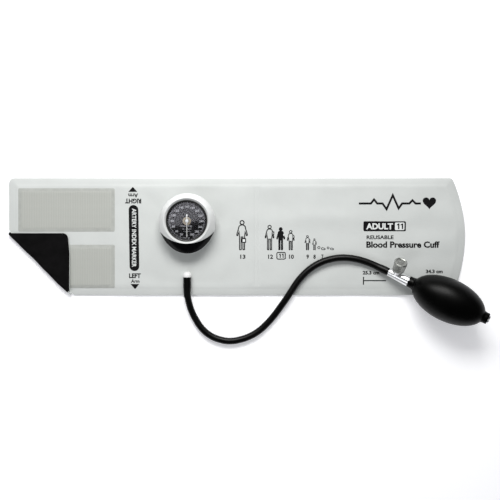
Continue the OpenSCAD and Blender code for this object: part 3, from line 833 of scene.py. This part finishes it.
def stroke(points, width):
    """Outline of an open line of even width."""
    sides = [[], []]
    for i, p in enumerate(points):
        at = Vector(p)
        a = (at - Vector(points[i - 1])).normalized() if i else None
        b = (Vector(points[i + 1]) - at).normalized() if i + 1 < len(points) else None
        step = mitre(a or b, b or a) * width / 2
        sides[0].append(tuple(at - step))
        sides[1].append(tuple(at + step))
    return sides[0] + sides[1][::-1]


def rounded_box(x0, y0, x1, y1, r):
    return (arc(x0 + r, y0 + r, r, 180, 270, 6) + arc(x1 - r, y0 + r, r, 270, 360, 6)
            + arc(x1 - r, y1 - r, r, 0, 90, 6) + arc(x0 + r, y1 - r, r, 90, 180, 6))


def digit_one(x, y, height, width):
    """A plain bold figure 1 that stands on y, with its stem ending at x."""
    stem = width * 0.5
    return [(x - stem, y), (x, y), (x, y + height), (x - stem * 0.8, y + height),
            (x - width, y + height * 0.80), (x - width, y + height * 0.62),
            (x - stem, y + height * 0.72)]


def circle(cx, cy, r, steps=28):
    return arc(cx, cy, r, 0, 360 * (1 - 1 / steps), steps - 1)


def shape(loop, holes=(), step=2.5):
    """Triangles of a printed shape, fine enough to lie on a soft face."""
    loop = spaced(loop, step)
    grid = hex_grid(np.min(loop, 0), np.max(loop, 0), step)
    grid = grid[inside(grid, loop) & (distance_to(grid, loop) > step * 0.4)]
    for hole in holes:
        grid = grid[~inside(grid, hole) & (distance_to(grid, hole) > step * 0.4)]
    return triangulate(loop, (), grid, [spaced(h, step) for h in holes])


def words(text, box, turn=0, weight=0.0):
    """Triangles of generic lettering that fills a box, turned by some degrees about its middle."""
    curve = bpy.data.curves.new("words", "FONT")
    curve.body, curve.offset, curve.resolution_u = text, weight, 3
    made = add_object("words", curve)
    mesh = bpy.data.meshes.new_from_object(made.evaluated_get(bpy.context.evaluated_depsgraph_get()))
    flat = np.array([(v.co.x, v.co.y) for v in mesh.vertices])
    faces = [(f.vertices[0], *pair) for f in mesh.polygons
             for pair in zip(f.vertices[1:-1], f.vertices[2:])]
    bpy.data.objects.remove(made)
    bpy.data.curves.remove(curve)
    bpy.data.meshes.remove(mesh)
    corners = np.array(box).reshape(2, 2)
    size = corners[1] - corners[0]
    if turn % 180:
        size = size[::-1]
    low, high = flat.min(0), flat.max(0)
    flat = (flat - (low + high) / 2) / (high - low) * size
    a = radians(turn)
    flat = flat @ np.array([[cos(a), sin(a)], [-sin(a), cos(a)]]) + corners.mean(0)
    return divided(flat, upward(flat, faces, 1e-9), 1.8)


def divided(flat, faces, limit):
    """Splits every triangle in four until no side is longer than the limit."""
    points = [tuple(p) for p in flat]
    while max(hypot(points[a][0] - points[b][0], points[a][1] - points[b][1])
              for f in faces for a, b in zip(f, f[1:] + f[:1])) > limit:
        middle = {}

        def half(a, b):
            key = (min(a, b), max(a, b))
            if key not in middle:
                middle[key] = len(points)
                points.append(((points[a][0] + points[b][0]) / 2, (points[a][1] + points[b][1]) / 2))
            return middle[key]

        split = []
        for a, b, c in faces:
            ab, bc, ca = half(a, b), half(b, c), half(c, a)
            split += [(a, ab, ca), (ab, b, bc), (ca, bc, c), (ab, bc, ca)]
        faces = split
    return np.array(points), faces


def print_on(name, parts, surface, material, rise, body="root", slot="cuff_fabric"):
    """Thin closed print over a face whose height at flat points is surface(points)."""
    flat = np.concatenate([points for points, _ in parts])
    faces, base = [], 0
    for points, part_faces in parts:
        faces += [tuple(base + i for i in f) for f in part_faces]
        base += len(points)
    height = surface(flat)
    return piece(slab(name, flat, faces, height - 0.05, height + rise, material), body, slot)


def face_of(made):
    """Height, in millimetres, of an object's upper face at flat points."""
    tree = BVHTree.FromObject(made, bpy.context.evaluated_depsgraph_get())

    def height(flat):
        hits = [tree.ray_cast(Vector((x * MM, y * MM, 0.05)), Vector((0, 0, -1)))[0] for x, y in flat]
        return np.array([hit.z / MM if hit else CUFF_T for hit in hits])
    return height


PERSON_LEFT = [(0.0, 0.855), (-0.05, 0.85), (-0.115, 0.80), (-0.15, 0.66), (-0.19, 0.53),
               (-0.185, 0.47), (-0.13, 0.47), (-0.105, 0.56), (-0.1, 0.44), (-0.1, 0.02),
               (-0.085, 0.0), (-0.025, 0.0), (-0.012, 0.02), (-0.012, 0.42)]
PERSON = PERSON_LEFT + [(-x, y) for x, y in PERSON_LEFT[:0:-1]]     # outline for a height of 1


def outlined(loop, line):
    return shape(loop, [offset_loop(loop, line)])


def person(x, foot, height, line, solid, band):
    """Pictogram of a standing person, with a band round an arm or a thigh: black and white parts."""
    body = [(x + height * px, foot + height * py) for px, py in PERSON]
    head = circle(x, foot + 0.915 * height, 0.082 * height, 20)
    cx, cy, w, h = (0.135, 0.665, 0.05, 0.075) if band == "arm" else (0.06, 0.32, 0.075, 0.08)
    cx, cy, w, h = x + cx * height, foot + cy * height, w * height, h * height
    band_loop = rounded_box(cx - w, cy - h, cx + w, cy + h, 0.035 * height)
    if solid:
        return [shape(body), shape(head)], [shape(offset_loop(band_loop, line * 0.8))]
    return [outlined(part, line) for part in (body, head, band_loop)], \
        [shape(offset_loop(band_loop, line))]


def infant(x, foot, size, line):
    """Pictogram of a lying infant."""
    head = circle(x - 0.3 * size, foot + 0.3 * size, 0.17 * size, 16)
    body = arc(x + 0.12 * size, foot + 0.18 * size, 0.16 * size, 90, 270, 6) \
        + arc(x + 0.36 * size, foot + 0.14 * size, 0.12 * size, -90, 90, 6)
    return [outlined(head, line), outlined(body, line)]


def make_cuff_print(surface):
    """Arm marker, size figures, names and the range of the arm, all generic."""
    mark = -115.4                   # middle of the arm marker
    bar = [(x - 0.016 * y, y) for x, y in rounded_box(mark - 5.4, -38.6, mark + 5.4, 35.2, 5.3)]
    black = [shape(bar), shape([(mark - 6.3, 50), (mark + 3.8, 50), (mark - 1.2, 55.6)], (), 1.2),
             shape([(mark - 3.6, -53.2), (mark + 1.2, -59.0), (mark + 6.0, -53.2)], (), 1.2)]
    white = [words("ARTERY INDEX MARKER", (mark - 2.2, -34.2, mark + 2.6, 31.4), -90, 0.022)]
    for text, box, turn, weight in (
            ("Arm", (mark - 6.2, 43.7, mark + 4.6, 48.2), 180, 0.03),
            ("RIGHT", (mark - 9.8, 37.0, mark + 8.2, 42.5), 180, 0.04),
            ("LEFT", (mark - 5.4, -46.6, mark + 7.6, -41.3), 0, 0.04),
            ("Arm", (mark - 3.2, -51.9, mark + 6.2, -48.0), 0, 0.03),
            ("REUSABLE", (145.2, -3.0, 175.4, 1.3), 0, 0.026),
            ("Blood Pressure Cuff", (144.9, -12.7, 226.8, -5.4), 0, 0.036),
            ("25.3 cm", (140.7, -42.6, 159.3, -38.5), 0, 0.04),
            ("34.3 cm", (211.5, -41.2, 230.3, -37.0), 0, 0.04)):
        black.append(words(text, box, turn, weight))

    foot = -15.3
    for x, height, line, solid, band in (
            (5.7, 33.8, 1.15, False, "thigh"), (36.5, 28.4, 1.05, False, "arm"),
            (49.0, 25.8, 0.9, True, "arm"), (60.2, 22.6, 0.9, False, "arm"),
            (79.0, 16.8, 0.72, False, "arm"), (86.8, 13.2, 0.64, False, "arm")):
        dark, light = person(x, foot, height, line, solid, band)
        black += dark
        white += light
    black += infant(94.6, foot, 9.6, 0.72) + infant(104.6, foot, 8.4, 0.66)
    for text, x, half in (("13", 6.6, 2.9), ("12", 37.6, 2.7), ("10", 61.0, 2.7), ("9", 79.2, 1.4),
                          ("8", 86.9, 1.3), ("7", 95.8, 1.2)):
        black.append(words(text, (x - half, -25.0, x + half, -20.2), 0, 0.032))
    black.append(outlined(rounded_box(44.2, -25.8, 54.6, -17.3, 1.8), 1.05))
    black += [shape(digit_one(x, -23.9, 4.8, 2.0)) for x in (49.0, 52.2)]

    pulse = [(136.5, 37), (150, 37), (153.5, 41.5), (157, 37), (163, 37), (167.5, 30.6),
             (174.5, 46.2), (181, 31.5), (185, 37), (193, 37), (196.5, 40.5), (200, 37), (206, 37)]
    heart = [(215.5 + 0.47 * 16 * sin(t) ** 3,
              38.2 + 0.47 * (13 * cos(t) - 5 * cos(2 * t) - 2 * cos(3 * t) - cos(4 * t)))
             for t in [-2 * pi * k / 40 for k in range(40)]]
    plate = rounded_box(141.6, 5.9, 189.2, 17.0, 1.4)
    window = rounded_box(176.9, 7.2, 187.6, 15.7, 1.2)
    black += [shape(stroke(pulse, 2.3)), shape(heart), shape(plate, [window])]
    white += [shape(window), words("ADULT", (144.7, 7.9, 174.7, 14.9), 0, 0.04)]
    for x0, y0, x1, y1 in ((141.0, -54.0, 142.2, -45.2), (228.8, -54.0, 230.0, -45.2),
                           (142.2, -50.0, 166.8, -48.8), (196, -50.0, 228.8, -48.8)):
        black.append(shape([(x0, y0), (x1, y0), (x1, y1), (x0, y1)]))
    print_on("print_black", black, surface, INK, 0.1)
    over = [shape(digit_one(x, 8.3, 6.3, 2.9)) for x in (181.9, 186.1)]
    print_on("print_white", white, surface, WHITE_INK, 0.16)
    print_on("print_size", over, surface, INK, 0.22)


# ---- Hook patches ----

HOOK_PITCH = (1.36, 2.72)           # of the ribs and of the rows
HOOK_FRAME = 3.4                    # width of the tape's welded frame


def hook_heights(flat, loop, base):
    """Face of the woven tape: a flat welded frame, and ribs inside it."""
    edge = distance_to(flat, loop)
    pile = smoothstep((edge - HOOK_FRAME) / 0.8)
    ribs, rows = [0.5 + 0.5 * np.cos(flat[:, k] * 2 * pi / HOOK_PITCH[k]) for k in (0, 1)]
    rim = 0.12 + 0.1 * smoothstep(edge / 0.5)
    return base + rim + pile * (0.1 + 0.12 * ribs + 0.07 * rows)


def hook_plan(outer):
    """Points and triangles of a tape, with a fine grid inside its frame."""
    loop = spaced(outer, 2.0)
    across, up = [np.arange(ceil(low / step), high / step) * step for low, high, step in zip(
        np.min(loop, 0), np.max(loop, 0), (HOOK_PITCH[0] / 2, HOOK_PITCH[1] / 2))]
    grid = np.array([(x, y) for x in across for y in up])
    grid = grid[inside(grid, loop) & (distance_to(grid, loop) > HOOK_FRAME + 1)]
    rings = [spaced(offset_loop(outer, inset), 2.0) for inset in (0.5, HOOK_FRAME, HOOK_FRAME + 0.8)]
    return triangulate(loop, [ring + ring[:1] for ring in rings], grid)


def make_hook(name, loop, surface, node):
    flat, faces = hook_plan(loop)
    base = surface(flat)
    made = slab(name, flat, faces, base - 0.12, hook_heights(flat, loop, base), HOOK, sharp=60)
    made.data.materials.append(WELD)
    edge = distance_to(np.array([tuple(flat[list(f)].mean(0)) for f in faces]), loop)
    for i, face in enumerate(made.data.polygons):
        if i >= len(faces) or edge[i] < HOOK_FRAME + 0.1:
            face.material_index = 1
    return piece(made, "root", "hook_tape", node)


def make_hooks(surface):
    make_hook("hook_tape_upper", rounded_box(*HOOK_HIGH, 1.6), surface, "hook_patch_upper")
    whole = rounded_box(*HOOK_LOW, 1.6)
    make_hook("hook_tape_lower", side_of_fold(whole, False), surface, "hook_patch_lower")
    flat, faces = triangulate(spaced(side_of_fold(whole, True), 2.0))
    _, face = cuff_heights(flat)
    made = slab("flap_tape", flat, faces, face - 0.1, face + 0.4, HOOK, sharp=60)
    turn_over(made)
    piece(made, "corner_flap", "hook_tape", "corner_flap_hook")


# ---- Gauge ----

GAUGE_R, CHIN_R, CHIN_DROP = 30.4, 26.4, 9.4
RIM_R, WINDOW_R, BORE_R = 25.2, 22.8, 23.0
CRESCENT_R, CRESCENT_UP = 40.6, 15.6
SHOULDER = 0.08                     # how much wider the case is beside its chin
CASE_TOP, GAUGE_TOP = 17.0, 28.0
DIAL_Z = 20.8                       # the dial's face
TANGENT = np.degrees(np.arcsin((GAUGE_R - CHIN_R) / CHIN_DROP))


def egg_ring(z, round_r, chin_r, drop, steps=92, chin_steps=52):
    """Points of the gauge's outline at a height; all rings match point for point."""
    top = [(0, a) for a in np.linspace(-TANGENT + 0.7, 180 + TANGENT - 0.7, steps)]
    low = [(-drop, a) for a in np.linspace(180 + TANGENT + 0.7, 360 - TANGENT - 0.7, chin_steps)]
    out = []
    for i, (shift, a) in enumerate(top + low):
        r = round_r if i < steps else chin_r
        x, y = r * cos(radians(a)), shift + r * sin(radians(a))
        x *= 1 + SHOULDER * drop / CHIN_DROP * float(np.exp(-((y + 16) / 9) ** 2))
        out.append((gauge_at.x + x, gauge_at.y + y, z))
    return out


def ring_of(z, r):
    return egg_ring(z, r, r, 0)


def make_bezel_blank():
    """Sloping frame round the window, before its dark chin is parted from it."""
    rings = [egg_ring(CASE_TOP, GAUGE_R - 0.25, CHIN_R - 0.25, CHIN_DROP),
             egg_ring(CASE_TOP + 0.25, GAUGE_R, CHIN_R, CHIN_DROP),
             egg_ring(18.6, GAUGE_R, CHIN_R, CHIN_DROP)]
    for i in range(13):
        t = i / 12
        r, c = [start - 0.12 + (RIM_R + 0.25 - start) * t + 0.55 * sin(pi * t)
                for start in (GAUGE_R, CHIN_R)]
        rings.append(egg_ring(18.9 + (27.5 - 18.9) * t, r, c, CHIN_DROP * (1 - t)))
    rings += [ring_of(z, r) for z, r in (
        (27.85, RIM_R + 0.08), (GAUGE_TOP, RIM_R - 0.2), (GAUGE_TOP, 24.75), (27.9, 24.55),
        (27.6, 24.3), (26.35, WINDOW_R + 0.1), (26.2, WINDOW_R + 0.05), (26.2, BORE_R), (CASE_TOP, BORE_R))]
    return loft("bezel", rings, BEZEL, closed=True, sharp=30)


def crescent(r):
    place = Matrix.Translation((gauge_at.x, gauge_at.y + CRESCENT_UP, 0))
    return revolve("cutter", [(r, 10), (r, 40)], None, place, steps=256)


def make_gauge():
    bezel = cut_with(make_bezel_blank(), crescent(CRESCENT_R - 0.06), "INTERSECT")
    bezel.name = "gauge_bezel"
    piece(bezel, "gauge", "bezel_plastic", "bezel_ring")
    chin = cut_with(make_bezel_blank(), crescent(CRESCENT_R + 0.06), "DIFFERENCE")
    chin.name = "gauge_chin"
    chin.data.materials.clear()
    chin.data.materials.append(CHIN)
    piece(chin, "gauge", "chin_plastic", "bezel_chin")

    case_z, waist, base_r = 3.6, 12.0, 19
    floor = case_z + 2
    rings = [ring_of(case_z, 5.1), ring_of(case_z, 18.4), ring_of(case_z + 0.2, 18.9)]
    for i in range(1, 9):
        a = i / 8 * pi / 2
        r, c = [base_r + (end - 0.4 - base_r) * sin(a) ** 0.9 for end in (GAUGE_R, CHIN_R)]
        z = case_z + 0.4 + (waist - case_z - 0.4) * (1 - cos(a)) ** 0.9
        rings.append(egg_ring(z, r, c, CHIN_DROP * sin(a)))
    rings += [egg_ring(CASE_TOP - down, GAUGE_R + more, CHIN_R + more, CHIN_DROP)
              for down, more in ((2.2, 0.3), (0.4, 0.45), (0.02, 0.2))]
    rings += [ring_of(z, r) for z, r in ((CASE_TOP - 0.02, BORE_R), (waist, BORE_R), (waist, 18.8),
                                         (floor, 18.8), (floor, 5.1))]
    case = loft("gauge_back", rings, BEZEL, closed=True, sharp=30)
    piece(case, "gauge", "bezel_plastic", "gauge_case")

    at = Matrix.Translation((gauge_at.x, gauge_at.y, 0))
    rim = revolve("window_rim", [(22.9, 24.4), (22.9, 26.15), (22.75, 26.2), (21.2, 25.95),
                                 (20.85, 25.75), (20.7, 25.45), (20.7, 24.4)],
                  RIM, at, steps=160, closed=True)
    piece(rim, "gauge", "chin_plastic", "lens_ring")
    dome_r = (20.5 ** 2 + 1) / 2        # the lens rises 1 mm over a radius of 20.5 mm
    half = np.arcsin(20.5 / dome_r)
    dome = [(dome_r * sin(a), 25.4 - dome_r * (1 - cos(a)))
            for a in [half * (1 - i / 24) for i in range(24)]]
    under = [(r * 0.99, z - 1.2) for r, z in dome[::-1]]
    edge = [(20.6, 23.2), (22.75, 23.2), (22.75, 24.38), (20.62, 24.38)]
    glass = revolve("lens_dome", [(0.04, 24.2), *under, *edge, *dome, (0.04, 25.4)], LENS, at,
                    steps=160, sharp=20)
    glass.visible_shadow = False        # clear glass: lamps shine through it
    piece(glass, "gauge", "lens_clear", "lens")
    disc = revolve("dial_boss", [(1.35, DIAL_Z), (4.5, DIAL_Z), (4.5, 21.15), (4.35, 21.3),
                                 (3.9, 21.3), (3.75, 21.12), (3.35, 21.12), (3.2, 21.3),
                                 (1.6, 21.3), (1.35, 21.1)],
                   BRASS, at, steps=72, closed=True)
    piece(disc, "gauge", "brass")
    make_dial_print()
    return glass


def make_dial_print():
    """Scale from 0 to 300 round the dial, clockwise from the bottom."""
    mid_x, mid_y = gauge_at.x, gauge_at.y
    parts = []

    def spot(value, r):
        a = radians(-90 - value * 339 / 300)
        return mid_x + r * cos(a), mid_y + r * sin(a)

    for value in range(10, 301, 2):
        inner, width = (18.7, 0.14) if value % 10 else (17.8, 0.26)
        parts.append(shape(stroke([spot(value, inner), spot(value, 19.9)], width)))
    for side in (-1, 1):
        mark = [(mid_x + side * x, mid_y - y) for x, y in ((1.0, 19.0), (1.9, 18.5), (3.0, 18.6))]
        parts.append(shape(stroke(mark, 0.5)))
    for value in range(0, 301, 20):
        x, y = spot(value, 15.9)
        half = (0.95, 1.65, 2.35)[len(str(value)) - 1]
        parts.append(words(str(value), (x - half, y - 1.2, x + half, y + 1.2), 0, 0.015))
    for text, x0, y0, x1, y1 in (("mm", -6.6, -6.6, -1.6, -5.0), ("Hg", 1.6, -7.0, 5.4, -4.6),
                                 ("0 - 300", -4.8, -9.4, 4.8, -8.2),
                                 ("+/- 3 mmHg", -4.0, -12.1, 4.0, -10.8)):
        parts.append(words(text, (mid_x + x0, mid_y + y0, mid_x + x1, mid_y + y1)))
    print_on("dial_figures", parts, lambda flat: np.full(len(flat), DIAL_Z), DIAL_INK, 0.05,
             "gauge", "pointer_paint")


# ---- Bulb and valve ----

VALVE_LEN = 23.9                    # from the hose's end to the bulb's neck
NECK_R, BULB_R = 6.2, 23.6
BULB_HALF, BULB_MID, BULB_END = 42.0, 71.4, 117.8
BULB_BORE, BULB_WALL = 4.02, 2.2


def bulb_outline(half, r, end_r, steps=56):
    """(radius, place along the axis) pairs of an oval that ends where its radius is end_r."""
    u = sqrt(1 - (end_r / r) ** 2)
    spots = [-cos(pi * i / steps) for i in range(steps + 1)]
    return [(r * sqrt(1 - (u * t) ** 2), BULB_MID + half * u * t) for t in spots]


def make_bulb():
    """The bulb's wall, turned from its outline, from the neck at the valve to the tail."""
    place = placed(valve_at, bulb_dir, bulb_up)
    outer = bulb_outline(BULB_HALF, BULB_R, NECK_R + 0.9)
    front, back = outer[0][1], outer[-1][1]
    profile = [(BULB_BORE, VALVE_LEN + 0.05), (NECK_R - 0.5, VALVE_LEN + 0.05),
               (NECK_R - 0.1, VALVE_LEN + 0.2), (NECK_R, VALVE_LEN + 0.6), (NECK_R, 28.4),
               (NECK_R + 0.05, 28.9), (NECK_R + 0.25, 29.4)]
    profile += [p for p in outer if front <= p[1] <= back]
    profile += [(NECK_R + 0.35, 112.5), (NECK_R + 0.1, 113.2), (NECK_R, 114.2),
                (NECK_R, BULB_END - 1.0), (NECK_R - 0.15, BULB_END - 0.4),
                (NECK_R - 0.6, BULB_END - 0.02), (BULB_BORE, BULB_END - 0.02),
                (BULB_BORE, BULB_END - 11)]
    profile += bulb_outline(BULB_HALF - BULB_WALL, BULB_R - BULB_WALL, 4.6)[::-1]
    profile.append((BULB_BORE, VALVE_LEN + 11))
    skin = revolve("bulb_skin", profile, BULB, place, steps=128, closed=True, sharp=50)
    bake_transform(skin)
    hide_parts("bulb", "bulb_thumb_patch")


def make_knob():
    """Cup-shaped thumbscrew with a knurled side and a shallow dished top."""
    low, high, r1, r2 = 9.2, 22.0, 6.5, 7.2
    ridges, per = 40, 6
    angles = [2 * pi * k / (ridges * per) for k in range(ridges * per)]
    place = placed(screw_at, screw_dir, bulb_dir)

    def ring(z, r, knurl=0):
        radii = [r + knurl * (0.5 * cos(ridges * a) - 0.5) for a in angles]
        return [place @ Vector((rr * cos(a), rr * sin(a), z)) for rr, a in zip(radii, angles)]

    foot = r1 + 0.12
    rows = [(low, 2.0), (low, r1 - 0.5), (low + 0.15, r1 - 0.15), (low + 0.5, r1),
            (low + 1.6, r1 + 0.06), (low + 2.0, foot, 0.55)]
    rows += [(low + 2.0 + (high - low - 3.6) * i / 9, foot + (r2 - foot) * i / 9, 0.55)
             for i in range(1, 9)]
    rows += [(high - 1.3, r2, 0.5), (high - 0.8, r2 - 0.1, 0.1), (high - 0.35, r2 - 0.35),
             (high - 0.05, r2 - 0.8), (high, r2 - 1.1), (high - 0.02, r2 - 1.5),
             (high - 0.35, r2 - 1.9), (high - 0.5, r2 - 2.4), (high - 0.45, 2.0), (high - 0.2, 1.2),
             (high - 0.2, 0.2)]
    knob = loft("screw_knob", [ring(*row) for row in rows], KNOB, sharp=40)
    return piece(knob, "thumbscrew", "knob_metal", "thumbscrew_knob")


def paint_frame_nodes():
    by_slot = {"port_plastic": PORT, "bezel_plastic": BEZEL, "chin_plastic": CHIN, "seal_rubber": SEAL,
               "dial_paint": DIAL, "pointer_paint": POINTER, "brass": BRASS, "steel": STEEL,
               "chrome": CHROME, "knob_metal": KNOB, "bladder_rubber": SEAL, "hook_tape": HOOK,
               "lens_clear": LENS, "cuff_fabric": NYLON, "lining_fabric": LINING,
               "hose_rubber": HOSE, "bulb_rubber": BULB}
    for part in frame["record"]["subparts"]:
        mesh = frame["nodes"][part["node"]].data
        mesh.materials.clear()
        mesh.materials.append(by_slot[part["material_slot"]])


def link_light(light, objects, state="INCLUDE"):
    """Lets a light shine on some objects only, or, with EXCLUDE, on all but them."""
    group = bpy.data.collections.new(light.name + "_group")
    for item in objects:
        group.objects.link(item)
    for item in group.collection_objects:
        item.light_linking.link_state = state
    light.light_linking.receiver_collection = group


def make_card(glass):
    """Soft panel overhead that the gauge's lens mirrors in its upper half, and one for the metal."""
    card = area_light("overhead_panel", (-0.264, 0.496, 2.3), (-0.264, 0.496, 0), (1.3, 0.95), 6.3,
                      (0.93, 0.92, 1.0))
    card.data.cycles.max_bounces = 0    # mirrored by the dome's outer face only
    card.rotation_euler.z += radians(14)
    link_light(card, [glass])
    metal = [frame["nodes"][part["node"]] for part in frame["record"]["subparts"]
             if part["material_slot"] in ("chrome", "knob_metal")]
    low_card = area_light("metal_panel", (0.05, -0.55, 1.1), (0.18, -0.05, 0), (1.0, 0.9), 1.5,
                          (1, 1, 1))
    link_light(low_card, metal + [bpy.data.objects["screw_knob"]])


def keep_off(light, *names):
    """Keeps a light off glossy pieces, which would mirror it."""
    link_light(light, [bpy.data.objects[name] for name in names], "EXCLUDE")


make_camera()
make_hose()
make_floor()
key, kicker, fill = make_lights()
paint_frame_nodes()
cover = make_cuff()
cover_face = face_of(cover)
make_hooks(cover_face)
make_cuff_print(cover_face)
glass = make_gauge()
make_bulb()
make_knob()
make_card(glass)
keep_off(key, "lens_dome")
keep_off(kicker, "lens_dome")
keep_off(fill, "lens_dome", "bulb_skin", "gauge_chin", "hose", "hose_end_port", "hose_end_valve")
